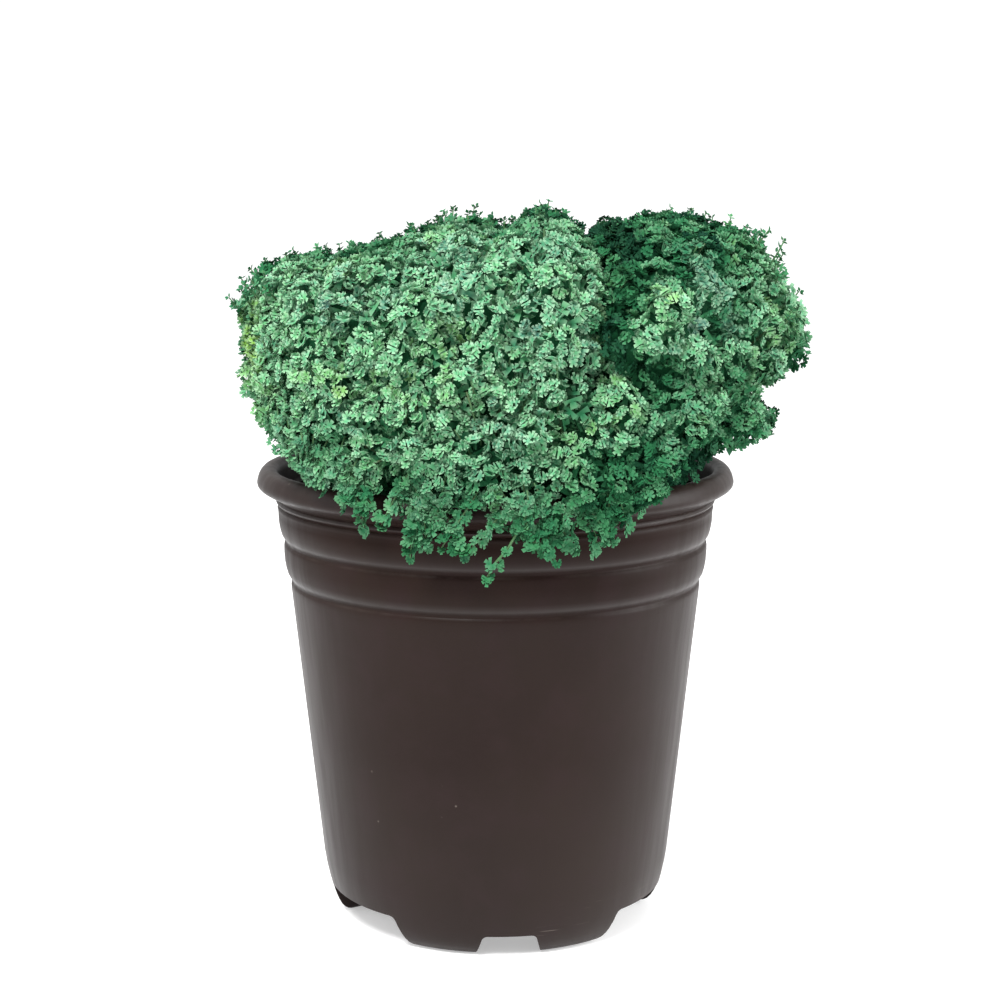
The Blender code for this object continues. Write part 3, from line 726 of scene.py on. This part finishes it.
def build_mix(finish):
    """The mix: a solid that fills the pot, roughened on top, with bark, crumbs and perlite on it."""
    top = [(0.0, MIX_CROWN)] + [(radius, MIX_CROWN - radius / MIX_SLOPE) for radius in range(2, 70, 2)]
    wall = [
        (71.8, 136.5), (72.0, 131.0), (71.5, 124.6), (69.9, 121.2), (69.5, 118.0), (69.1, 112.0),
        (59.6, 25.1), (58.6, 20.4), (57.1, 16.9), (55.3, 14.9), (53.2, 14.1), (0.0, 14.1),
    ]
    shape = spun(in_metres(top + wall), MIX_STEPS, closed=False)
    tone = shape.verts.layers.float.new("tone")
    for corner in shape.verts:
        if corner.co.z > MIX_TOP - 1.0 * MM:
            rough = noise.fractal(corner.co * 140.0, 0.7, 2.1, 4)
            corner.co.z += 2.2 * MM * rough
            corner[tone] = max(0.0, 0.3 * rough)
    # Blender seeds the noise that shapes the chips from the clock, unless a seed is set
    noise.seed_set(CHIP_SEED)
    draw = random.Random(11)
    templates = [
        (chip_template("bark_chip", 8, 0.30), CHIPS, (2.0, 6.0), (0.15, 0.7)),
        (chip_template("bark_crumb", 20, 0.6), CHIPS, (1.2, 3.0), (0.0, 0.5)),
        (chip_template("perlite", 20, 0.8), PERLITE, (1.4, 3.4), (1.0, 1.0)),
    ]
    for template, count, sizes, tones in templates:
        for _ in range(count):
            radius = CHIP_CIRCLE * math.sqrt(draw.random())
            place = on_circle(radius, draw.uniform(0.0, 360.0), MIX_TOP + draw.uniform(0.2, 1.8) * MM)
            turn = Matrix.Rotation(draw.uniform(0.0, math.tau), 4, "Z")
            turn = turn @ Matrix.Rotation(draw.gauss(0.0, 0.35), 4, "X")
            size = draw.uniform(*sizes) * MM
            matrix = Matrix.Translation(place) @ turn @ Matrix.Scale(size, 4)
            copied(shape, template, matrix, tone=draw.uniform(*tones))
    return piece("bark_and_perlite_mix", shape, [finish], "potting_mix", slot="potting_mix")


def copied(shape, template, matrix, **values):
    """Adds a copy of a template to a shape, in place, with the same value at all of its corners."""
    copy = template.copy()
    copy.transform(matrix)
    count = len(copy.vertices)
    for name, value in values.items():
        copy.attributes[name].data.foreach_set("value", [value] * count)
    shape.from_mesh(copy)
    bpy.data.meshes.remove(copy)


# Mound
def lump(offset):
    """Below 0 where there is a hollow in the mound, at an offset from its heart."""
    return waver(offset, LUMP_SIZE, 7.0)


def in_valley(place, width):
    """1 in the middle of the valley between the two lobes, which winds and ends above the rim."""
    bends = VALLEY_BENDS * waver(Vector((0.0, place.y, place.z)), VALLEY_BEND_SIZE)
    side = place.x - between(VALLEY_PATH, place.z / MM) * MM - bends
    return bell(side, width) * rising(place.z - VALLEY_END, VALLEY_FADE)


def mound_reach(direction):
    """From the heart to the leafy outside of the mound, in a direction of length 1."""
    azimuth = azimuth_of(direction)
    level = math.sqrt(max(0.0, 1.0 - direction.z**2))
    plan = (abs(direction.x) / HALF_WIDTH) ** PLAN_POWER + (abs(direction.y) / HALF_DEPTH) ** PLAN_POWER
    plan = plan ** (1.0 / PLAN_POWER)
    if direction.z > 0:
        power = TOP_POWER
        tilt = RIGHT_RISE * bell(azimuth - 90.0, TILT_SPREAD)
        tilt -= LEFT_FALL * bell(azimuth + 90.0, TILT_SPREAD)
        half_height = HALF_TOP + tilt * level
    else:
        power = UNDER_POWER
        half_height = HALF_UNDER + (FRONT_UNDER - HALF_UNDER) * bell(azimuth, UNDER_SPREAD)
    reach = (plan**power + (abs(direction.z) / half_height) ** power) ** (-1.0 / power)
    lobe_height, lobe_thickness = LOBE_LEVEL
    reach += RIGHT_LOBE * bell(azimuth - 90.0, LOBE_SPREAD) * bell(direction.z - lobe_height, lobe_thickness)
    reach -= VALLEY_DEPTH * in_valley(HEART + direction * reach, VALLEY_WIDTH)
    side = HEART.x + direction.x * reach
    reach += between(TOP_LIFTS, side / MM) * MM * max(0.0, direction.z)
    reach += SWELLS * noise.noise(direction * (reach / SWELL_SIZE))
    reach += LUMPS * min(LUMP_TOP, lump(direction * reach))
    if direction.x > 0.3:
        limit = between(RIGHT_EDGE, (HEART.z + direction.z * reach) / MM) * MM
        reach = min(reach, (limit - HEART.x) / direction.x)
    return reach


def has_room(place):
    """Whether a leaf can be at a place: above the skirt's edge, within the sides, and not in the rim."""
    left = between(LEFT_EDGE, place.z / MM) * MM
    right = between(RIGHT_EDGE, place.z / MM) * MM
    skirt = between(SKIRT_EDGE, azimuth_of(place)) * MM
    if place.z < skirt or not -left < place.x < right + RIGHT_SLACK:
        return False
    return place.z > LEAF_FLOOR or math.hypot(place.x, place.y) > RIM_CLEAR


class Spaced:
    """Keeps places apart, with a grid of what is already there."""

    def __init__(self, gap):
        self.gap = gap
        self.cells = {}

    def free(self, place):
        """Whether a place is free, and if so it is taken."""
        cell = tuple(math.floor(axis / self.gap) for axis in place)
        for step in itertools.product((-1, 0, 1), repeat=3):
            near = tuple(own + moved for own, moved in zip(cell, step))
            if any((place - other).length < self.gap for other in self.cells.get(near, ())):
                return False
        self.cells.setdefault(cell, []).append(place)
        return True


# Leaves
LEAF_VALUES = ("rim", "tone", "deep")


def add_leaf(shape, rim, lobes, matrix, draw, width=0.28, notch=0.48):
    """A thin closed leaf with blunt, uneven lobes that turn up, round a sunk middle.

    A flat ball of two cones has three corners a lobe round it: the lobe's two, and the notch or stalk.
    """
    made = bmesh.ops.create_uvsphere(shape, u_segments=3 * lobes, v_segments=2, radius=1.0)
    ring = [corner for corner in made["verts"] if abs(corner.co.z) < 0.5]
    ring.sort(key=lambda corner: math.atan2(corner.co.y, corner.co.x))
    span = LOBE_SPAN / lobes
    outline = [(-math.pi / 2, 0.04, 0.3)]
    for lobe in range(lobes):
        middle = (math.pi - LOBE_SPAN) / 2 + (lobe + 0.5) * span
        length = 1.0 - 0.10 * abs(lobe - (lobes - 1) / 2) + draw.uniform(-0.14, 0.10)
        for side in (-width, width):
            outline.append((middle + side * span, length + draw.uniform(-0.05, 0.05), 1.0))
        if lobe < lobes - 1:
            outline.append((middle + 0.5 * span, notch * length, 0.35))
    for corner, (turn, length, edge) in zip(ring, outline):
        lift = (0.30 + draw.uniform(-0.14, 0.14)) * edge - 0.16 * length
        corner.co = (length * math.cos(turn), length * math.sin(turn), lift)
        corner[rim] = edge
    for corner in made["verts"]:
        if corner not in ring:
            corner.co = (0.0, 0.40, -0.04 if corner.co.z > 0 else -0.22)
            corner[rim] = 0.0
    bmesh.ops.transform(shape, matrix=matrix, verts=made["verts"])


def template_from(name, fill):
    """A small mesh with the values that the leaf material reads."""
    shape = bmesh.new()
    rim, _, _ = [shape.verts.layers.float.new(value) for value in LEAF_VALUES]
    fill(shape, rim)
    for face in shape.faces:
        face.smooth = True
    for edge in shape.edges:
        edge.smooth = edge.verts[0][rim] * edge.verts[1][rim] == 0.0
    return as_mesh(name, shape)


def leaf_matrix(turn, start, lift, size, height=0.0):
    """Where a leaf is in its tuft: turned about the tuft's axis, set out from it and tipped up."""
    place = Matrix.Rotation(turn, 4, "Z") @ Matrix.Translation((0.0, start, height))
    return place @ Matrix.Rotation(lift, 4, "X") @ Matrix.Scale(size, 4)


def tuft_template(number):
    """A shoot tip: three lobed leaves round it and a smaller one on top."""
    draw = random.Random(100 + number)

    def fill(shape, rim):
        for leaf in range(3):
            turn = leaf * math.tau / 3 + draw.uniform(-0.35, 0.35)
            lift = draw.uniform(-0.30, 0.85)
            spot = leaf_matrix(turn, draw.uniform(0.15, 0.35), lift, draw.uniform(0.64, 0.84))
            add_leaf(shape, rim, 4, spot, draw)
        turn = draw.uniform(0.0, math.tau)
        add_leaf(shape, rim, 3, leaf_matrix(turn, -0.12, draw.uniform(0.4, 1.1), 0.55, height=0.20), draw)

    return template_from(f"tuft_{number}", fill)


def hanging_template(number):
    """A looser tuft with a longer leaf that points along the shoot."""
    draw = random.Random(200 + number)

    def fill(shape, rim):
        end = leaf_matrix(draw.uniform(-0.3, 0.3), 0.1, draw.uniform(-0.2, 0.1), 0.95)
        add_leaf(shape, rim, 5, end @ Matrix.Diagonal((0.85, 1.1, 1.0, 1.0)), draw, width=0.30, notch=0.62)
        for side in (-1, 1):
            turn = side * draw.uniform(0.6, 1.3)
            low = leaf_matrix(turn, 0.12, draw.uniform(-0.1, 0.5), draw.uniform(0.55, 0.75))
            add_leaf(shape, rim, 4, low, draw, width=0.30, notch=0.58)

    return template_from(f"hanging_{number}", fill)


def sprig_template(number):
    """A whorl of small pointed leaves, as at the young tips."""
    draw = random.Random(300 + number)

    def fill(shape, rim):
        for leaf in range(4):
            made = bmesh.ops.create_uvsphere(shape, u_segments=4, v_segments=2, radius=1.0)
            turn = leaf * math.tau / 4 + draw.uniform(-0.3, 0.3)
            lobe = leaf_matrix(turn, 0.5, draw.uniform(0.2, 0.6), 1.0)
            lobe = lobe @ Matrix.Diagonal((0.36, 0.50, 0.12, 1.0))
            for corner in made["verts"]:
                corner[rim] = 0.6 if abs(corner.co.z) < 0.5 else 0.0
            bmesh.ops.transform(shape, matrix=lobe, verts=made["verts"])

    return template_from(f"sprig_{number}", fill)


def inner_template():
    """A single leaf with its middle at the place."""
    draw = random.Random(400)

    def fill(shape, rim):
        add_leaf(shape, rim, 3, leaf_matrix(0.0, -0.4, 0.0, 1.0), draw)

    return template_from("inner_leaf", fill)


def tube(shape, points, start_radius, end_radius, sides=4):
    """A closed tapering stem along some points."""
    rings = []
    count = len(points) - 1
    for number, place in enumerate(points):
        ahead = points[min(number + 1, count)] - points[max(number - 1, 0)]
        radius = start_radius + (end_radius - start_radius) * number / count
        turned = ahead.to_track_quat("Z", "Y").to_matrix().to_4x4()
        made = bmesh.ops.create_circle(
            shape, cap_ends=number in (0, count), segments=sides, radius=radius,
            matrix=Matrix.Translation(place) @ turned,
        )
        ring = made["verts"]
        touching = {edge for corner in ring for edge in corner.link_edges}
        rings.append([edge for edge in touching if edge.verts[0] in ring and edge.verts[1] in ring])
    for lower, upper in zip(rings, rings[1:]):
        bmesh.ops.bridge_loops(shape, edges=lower + upper)


def solid_corners(name):
    """The corners of a node of the frame, measured from the pot's axis."""
    return [corner.co + PLANT_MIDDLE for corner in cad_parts[name].data.vertices]


def near_tree(places):
    """Finds the nearest of some places."""
    tree = KDTree(len(places))
    for number, place in enumerate(places):
        tree.insert(place, number)
    tree.balance()
    return tree


class Bush:
    """All the leaf and stem shapes, one of each for every spray of the frame."""

    def __init__(self):
        self.names = sorted(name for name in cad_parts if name.startswith("spray_"))
        corners = [(place, name) for name in self.names for place in solid_corners(name)]
        self.near = near_tree([place for place, _ in corners])
        self.owners = [name for _, name in corners]
        self.leaves = {name: bmesh.new() for name in self.names}
        self.stems = {name: bmesh.new() for name in self.names}
        self.ends = {name: [] for name in self.names}

    def owner(self, place):
        """The spray whose solid is nearest to a place."""
        return self.owners[self.near.find(place)[1]]

    def add(self, template, place, facing, along, size, tone, deep, name=None):
        """Adds a leaf cluster that faces one way, with its lobes pointing along another."""
        name = name or self.owner(place)
        forward = (along - facing * along.dot(facing)).normalized()
        turned = Matrix((forward.cross(facing), forward, facing)).transposed().to_4x4()
        matrix = Matrix.Translation(place) @ turned @ Matrix.Scale(size, 4)
        tone = min(1.0, max(0.0, tone))
        deep = min(DARKEST_SHADE, max(0.0, deep))
        copied(self.leaves[name], template, matrix, tone=tone, deep=deep)
        return name


def any_way(draw):
    """A random direction of length 1."""
    return Vector([draw.gauss(0.0, 1.0) for _ in range(3)]).normalized()


def directions(draw, count):
    """Directions spread evenly all round, in a shuffled order."""
    order = list(range(count))
    draw.shuffle(order)
    for number in order:
        height = 1.0 - 2.0 * (number + 0.5) / count
        level = math.sqrt(1.0 - height * height)
        yield Vector((level * math.cos(number * GOLDEN), level * math.sin(number * GOLDEN), height))


def young_growth(place):
    """How much a place is in the patch of yellow-green growth low on the left."""
    return bell((place - YELLOW_SPOT).length, YELLOW_WIDTH)


def plan_bunches(draw):
    """The domes that the leaves cover: the middle, size and tone of each."""
    gaps = Spaced(BUNCH_GAP)
    bunches = []
    for direction in directions(draw, BUNCH_TRIALS):
        size = draw.uniform(*BUNCH_SIZE)
        sink = size + LEAF_INSET + BUNCH_SINK * draw.random() ** 1.5
        middle = HEART + direction * (mound_reach(direction) - sink)
        if has_room(middle + direction * size * 0.6) and gaps.free(middle):
            axis = (direction + 0.55 * UP).normalized()
            bunches.append((middle, axis, size, draw.gauss(0.44, 0.10)))
    return bunches


def covered(place, bunch, others):
    """Whether a place on one bunch is inside another."""
    for middle, _, size, _ in others:
        if middle is not bunch[0] and (place - middle).length < size - 0.8 * MM:
            return True
    return False


def envelope_depth(place):
    """How far a place is below the mound's outside."""
    offset = place - HEART
    return mound_reach(offset.normalized()) - offset.length


def painted_shade_at(place):
    """How much painted shade darkens the leaves at a place, from its height and side, less where painted
    light falls on the front of the left lobe.
    """
    low = rising(SHADE_BELOW - place.z, LOW_SPAN, LOW_MOST)
    high = HIGH_WEIGHT * rising(place.z - SHADE_ABOVE, HIGH_SPAN)
    right = RIGHT_WEIGHT * rising(place.x - SHADE_RIGHT, RIGHT_SPAN)
    bends = BEHIND_BENDS * waver(place, 20.0 * MM, 3.0)
    behind = BEHIND_WEIGHT * rising(place.y - SHADE_BEHIND + bends, BEHIND_SPAN)
    valley = VALLEY_WEIGHT * in_valley(place, SHADE_VALLEY_WIDTH)
    spots = sum(weight * bell((place / MM - Vector(spot)).length, width) for spot, width, weight in SHADE_SPOTS)
    front = LIT_FRONT_WEIGHT * bell((place - LIT_FRONT).length, LIT_FRONT_WIDTH)
    # Random patches of painted shade, and painted shade in the hollows of the mound
    patch = 0.50 * waver(place, 11.0 * MM) + 0.30 * waver(place, 24.0 * MM, 9.0)
    hollow = HOLLOW_WEIGHT * max(0.0, -lump(place - HEART))
    return low + high + right + behind + valley + spots - front + patch + hollow


def grow_bunches(bush, draw):
    """The leafy outside: tufts all over the bunches, where one bunch isn't inside another."""
    tufts = [tuft_template(number) for number in range(10)]
    bunches = plan_bunches(draw)
    near = near_tree([middle for middle, _, _, _ in bunches])
    gaps = Spaced(TUFT_GAP)
    lowest = math.cos(math.radians(BUNCH_SPAN))
    for bunch in bunches:
        middle, axis, size, bunch_tone = bunch
        others = [bunches[number] for _, number, _ in near.find_range(middle, 2.2 * BUNCH_SIZE[1])]
        turned = axis.to_track_quat("Z", "Y").to_matrix()
        count = int(TUFT_CROWDING * size**2 * (1.0 - lowest) / TUFT_GAP**2)
        for number in range(count):
            level = 1.0 - (1.0 - lowest) * (number + 0.5) / count
            across = math.sqrt(1.0 - level * level)
            turn = number * GOLDEN + draw.uniform(-0.2, 0.2)
            way = turned @ Vector((across * math.cos(turn), across * math.sin(turn), level))
            rough = 1.0 + BUNCH_ROUGHNESS * noise.noise(way * 2.2 + middle * 300.0)
            place = middle + way * size * rough
            if not has_room(place) or covered(place, bunch, others) or not gaps.free(place):
                continue
            facing = (way + 0.35 * UP + 0.70 * any_way(draw)).normalized()
            along = (way - axis * way.dot(axis) + 0.5 * any_way(draw)).normalized()
            # Painted shade: more below the mound's outside, on the lower side of each bunch, and from the
            # shade of the place
            shade = max(0.0, (envelope_depth(place) - SHADE_START) / SHADE_SPAN)
            deep = shade + 0.35 * (0.25 - level) + painted_shade_at(place) + draw.gauss(0.0, 0.10)
            tone = bunch_tone + draw.gauss(0.0, 0.08) + 0.6 * young_growth(place)
            tone += 0.22 * waver(place, 26.0 * MM)
            tuft = draw.choice(tufts)
            name = bush.add(tuft, place, facing, along, draw.uniform(*TUFT_SIZE), tone, deep)
            bush.ends[name].append(place - facing * 0.8 * MM)


def grow_inner(bush, draw):
    """Leaves inside in painted shade, that close the gaps between the bunches."""
    leaf = inner_template()
    gaps = Spaced(INNER_GAP)
    for direction in directions(draw, INNER_TRIALS):
        place = HEART + direction * (mound_reach(direction) - INNER_DEPTH)
        inside = place.z > INNER_FLOOR and math.hypot(place.x, place.y) < INNER_RADIUS
        if (has_room(place) or inside) and gaps.free(place):
            facing = (direction + 0.3 * UP + 0.9 * any_way(draw)).normalized()
            size = draw.uniform(*INNER_SIZE) * MM
            along = any_way(draw)
            # Painted shade, stronger than on the outside
            deep = 0.75 + 0.45 * painted_shade_at(place)
            bush.add(leaf, place, facing, along, size, draw.uniform(0.2, 0.5), deep)


def core_place(direction):
    """The outside of the dark core inside the mound, in a direction of length 1."""
    rough = CORE_ROUGHNESS * noise.noise(direction * 30.0)
    place = HEART + direction * (mound_reach(direction) - CORE_DEPTH + rough)
    place.z = max(place.z, CORE_FLOOR)
    level = math.hypot(place.x, place.y)
    widest = INNER_RADIUS + max(0.0, place.z - LEAF_FLOOR) * CORE_FLARE
    if level > widest:
        place.x *= widest / level
        place.y *= widest / level
    return place


def grow_core(bush):
    """A closed shell inside the mound, dark with painted shade where the bush's inside is in shadow, that
    nothing shows through.
    """
    shape = bmesh.new()
    rim, tone, deep = [shape.verts.layers.float.new(value) for value in LEAF_VALUES]
    bmesh.ops.create_icosphere(shape, subdivisions=5, radius=1.0)
    for corner in shape.verts:
        corner.co = core_place(corner.co.normalized())
        corner[rim] = 0.0
        corner[tone] = 0.4
        # Painted shade, darker than the leaves round it
        corner[deep] = CORE_SHADE
    mesh = as_mesh("core", shape)
    bush.leaves["spray_top_01"].from_mesh(mesh)
    bpy.data.meshes.remove(mesh)


def cover_core(bush, draw):
    """Small leaves in painted shade on the side of the core, where no other leaves are in front of it."""
    leaf = inner_template()
    gaps = Spaced(COVER_GAP)
    low, high = COVER_HEIGHTS
    for direction in directions(draw, COVER_TRIALS):
        place = core_place(direction)
        outward = Vector((place.x, place.y, 0.0))
        if low < place.z < high and outward.length > COVER_INSIDE and gaps.free(place):
            outward.normalize()
            facing = (outward + 0.3 * UP + 0.5 * any_way(draw)).normalized()
            along = any_way(draw) - 0.5 * UP
            size = draw.uniform(*COVER_SIZE) * MM
            # Painted shade, as on the core
            deep = 0.90 + 0.30 * painted_shade_at(place) + draw.gauss(0.0, 0.12)
            spot = place + outward * 0.4 * MM
            bush.add(leaf, spot, facing, along, size, draw.uniform(0.2, 0.5), deep)


def hang_leaves(bush, draw, points, templates, sizes, name):
    """Leaves along a hanging shoot, on alternate sides of it and one at its end."""
    for number, place in enumerate(points[1:]):
        outward = Vector((place.x, place.y, 0.0)).normalized()
        across = UP.cross(outward)
        last = number == len(points) - 2
        for side in (0,) if last else (-1, 1):
            along = across * side * draw.uniform(0.4, 1.3) - UP * draw.uniform(0.6, 1.2)
            facing = (outward + 0.3 * UP + 0.75 * any_way(draw)).normalized()
            spot = place + across * side * draw.uniform(0.0, 1.6) * MM
            spot += outward * draw.uniform(-0.6, 0.9) * MM
            leaf = draw.choice(templates)
            size = draw.uniform(*sizes) * MM
            tone = draw.gauss(0.38, 0.12)
            # Painted shade of the place, up to the most the hanging shoots get
            deep = min(HANGING_SHADE, painted_shade_at(place)) + draw.uniform(-0.15, 0.20)
            bush.add(leaf, spot, facing, along, size, tone, deep, name=name)


def grow_hanging(bush, draw):
    """Shoots that hang over the rim in front, with lobed leaves."""
    templates = [hanging_template(number) for number in range(6)]
    for azimuth, lowest in HANGING:
        for strand in range(STRANDS):
            swing = draw.uniform(-3.5, 3.5) * strand
            low = lowest * MM + 2.6 * MM + strand * draw.uniform(2.0, 6.0) * MM
            radius = draw.uniform(88.0, 91.0) * MM
            turned = azimuth + swing + draw.uniform(-8.0, 8.0)
            top = on_circle(radius, turned, low + draw.uniform(12.0, 20.0) * MM)
            end = on_circle(draw.uniform(87.4, 89.0) * MM, azimuth + swing, low)
            bow = on_circle(1.5 * MM, azimuth)
            bow += UP.cross(on_circle(1.0, azimuth)) * draw.uniform(-2.5, 2.5) * MM
            shares = (0.0, 0.2, 0.4, 0.6, 0.8, 1.0)
            points = [top.lerp(end, share) + bow * math.sin(math.pi * share) for share in shares]
            name = bush.owner(end)
            tube(bush.stems[name], points, 0.3 * MM, 0.2 * MM)
            hang_leaves(bush, draw, points, templates, HANGING_SIZES, name)

    points = [on_circle(radius * MM, azimuth, height * MM) for azimuth, radius, height in SHORT_SHOOT]
    name = bush.owner(points[-1])
    tube(bush.stems[name], points, 0.3 * MM, 0.25 * MM)
    outward = on_circle(1.0, SHORT_SHOOT[-1][0])
    # Painted shade on its end leaves
    bush.add(templates[0], points[-1], outward, -UP, 2.4 * MM, 0.4, 0.85, name=name)

    points = [on_circle(radius * MM, azimuth, height * MM) for azimuth, radius, height in LONG_SHOOT]
    name = bush.owner(points[-1])
    tube(bush.stems[name], points, 0.42 * MM, 0.36 * MM)
    hang_leaves(bush, draw, points[:3], templates, (2.3, 2.8), name)
    hang_leaves(bush, draw, points[2:], templates, (2.7, 3.3), name)


def grow_shoots(bush, draw):
    """Thin young shoots that stand out of the top and sides."""
    sprigs = [sprig_template(number) for number in range(4)]
    gaps = Spaced(SHOOT_GAP)
    count = 0
    for direction in directions(draw, SHOOT_TRIALS):
        place = HEART + direction * (mound_reach(direction) - SHOOT_ROOT)
        edge = place.y > SHOOTS_BEHIND or place.x < SHOOTS_LEFT or place.x > SHOOTS_RIGHT
        if direction.z < 0.2 or not edge or count >= SHOOTS or not gaps.free(place):
            continue
        count += 1
        way = (direction + 1.3 * UP + 0.5 * any_way(draw)).normalized()
        end = place + way * draw.uniform(3.5, 7.0) * MM
        start = place - way * 3.0 * MM
        bend = (start + end) / 2 + any_way(draw) * 0.6 * MM
        name = bush.owner(place)
        tube(bush.stems[name], [start, bend, end], 0.35 * MM, 0.22 * MM)
        # Painted shade on the young shoots
        deep = draw.uniform(0.6, 1.0)
        for share, size in WHORLS:
            facing = (way + 0.7 * any_way(draw)).normalized()
            spot = start.lerp(end, share) + 0.5 * MM * any_way(draw)
            sprig = draw.choice(sprigs)
            along = any_way(draw)
            bush.add(sprig, spot, facing, along, size * MM, draw.gauss(0.4, 0.12), deep, name=name)


def grow_stems(bush, draw):
    """Each spray's main stem out of the mix, and its branches to the leaves."""
    for name in bush.names:
        ends = bush.ends[name]
        if not ends:
            continue
        middle = sum(ends, Vector()) / len(ends)
        foot = min(solid_corners(name), key=lambda place: place.z)
        rise = foot + UP * STEM_RISE
        fork = rise.lerp(middle, 0.55)
        if "trailing" in name:
            outward = Vector((middle.x, middle.y, 0.0)).normalized()
            fork = outward * OVER_RIM[0] * MM + UP * OVER_RIM[1] * MM
        points = [foot, foot + UP * 8.0 * MM, rise, (rise + fork) / 2 + UP * 2.0 * MM, fork]
        tube(bush.stems[name], points, *STEM_RADII, sides=6)
        for _ in range(BRANCHES):
            end = draw.choice(ends)
            start = rise.lerp(fork, draw.uniform(0.6, 1.0))
            bend = start.lerp(end, 0.5) + UP * draw.uniform(1.0, 5.0) * MM
            lower = start.lerp(bend, 0.6) + UP * 1.0 * MM
            tube(bush.stems[name], [start, lower, bend, end], *BRANCH_RADII)


def build_bush(leaf, stem):
    """All the shoots, one piece for every spray of the frame."""
    bush = Bush()
    draw = random.Random(5)
    grow_bunches(bush, draw)
    grow_inner(bush, draw)
    grow_core(bush)
    grow_hanging(bush, draw)
    grow_shoots(bush, draw)
    grow_stems(bush, draw)
    cover_core(bush, random.Random(6))
    for name in bush.names:
        shape = bush.stems[name]
        bmesh.ops.recalc_face_normals(shape, faces=shape.faces)
        for face in shape.faces:
            face.material_index = 1
            face.smooth = True
        stems = as_mesh("stems", shape)
        leaves = bush.leaves[name]
        leaves.from_mesh(stems)
        piece(name.replace("spray", "shoots"), leaves, [leaf, stem], name, slot="thyme_leaf")
        bpy.data.meshes.remove(stems)


# Surroundings
def build_stage():
    """A pale floor and sky, and three soft lamps."""
    shape = bmesh.new()
    bmesh.ops.create_grid(shape, x_segments=1, y_segments=1, size=40.0)
    ground = held("floor", shape)
    ground.data.materials.append(floor_finish())

    world = bpy.data.worlds.new("studio")
    bpy.context.scene.world = world
    world.use_nodes = True
    sky = world.node_tree.nodes["Background"]
    sky.inputs["Color"].default_value = colour(1.0, 1.0, 1.0)
    sky.inputs["Strength"].default_value = 1.06
    bpy.context.scene.view_settings.view_transform = "Standard"

    lamps = [
        ("key", (-0.38, -0.90, 1.30), 0.5, 44.0),
        ("right", (1.10, -0.10, 0.45), 0.8, 19.0),
        ("left", (-1.10, -0.10, 0.45), 0.8, 3.4),
    ]
    for name, place, size, power in lamps:
        light = bpy.data.lights.new(name, "AREA")
        light.size = size
        light.energy = power
        lamp = shown(name, light)
        lamp.location = place
        aim = LAMP_AIM - Vector(place)
        lamp.rotation_euler = aim.to_track_quat("-Z", "Y").to_euler()


def build_camera():
    """A camera where the photo was taken from."""
    view = bpy.data.cameras.new("photo_view")
    view.lens = CAMERA_LENS
    view.sensor_width = 36.0
    camera = shown("photo_view", view)
    camera.location = CAMERA_PLACE - PLANT_MIDDLE
    camera.rotation_euler = (math.radians(90.0 - CAMERA_PITCH), 0.0, 0.0)
    bpy.context.scene.camera = camera


build_camera()
build_stage()
build_pot(pot_finish())
build_mix(mix_finish())
build_bush(leaf_finish(), stem_finish())
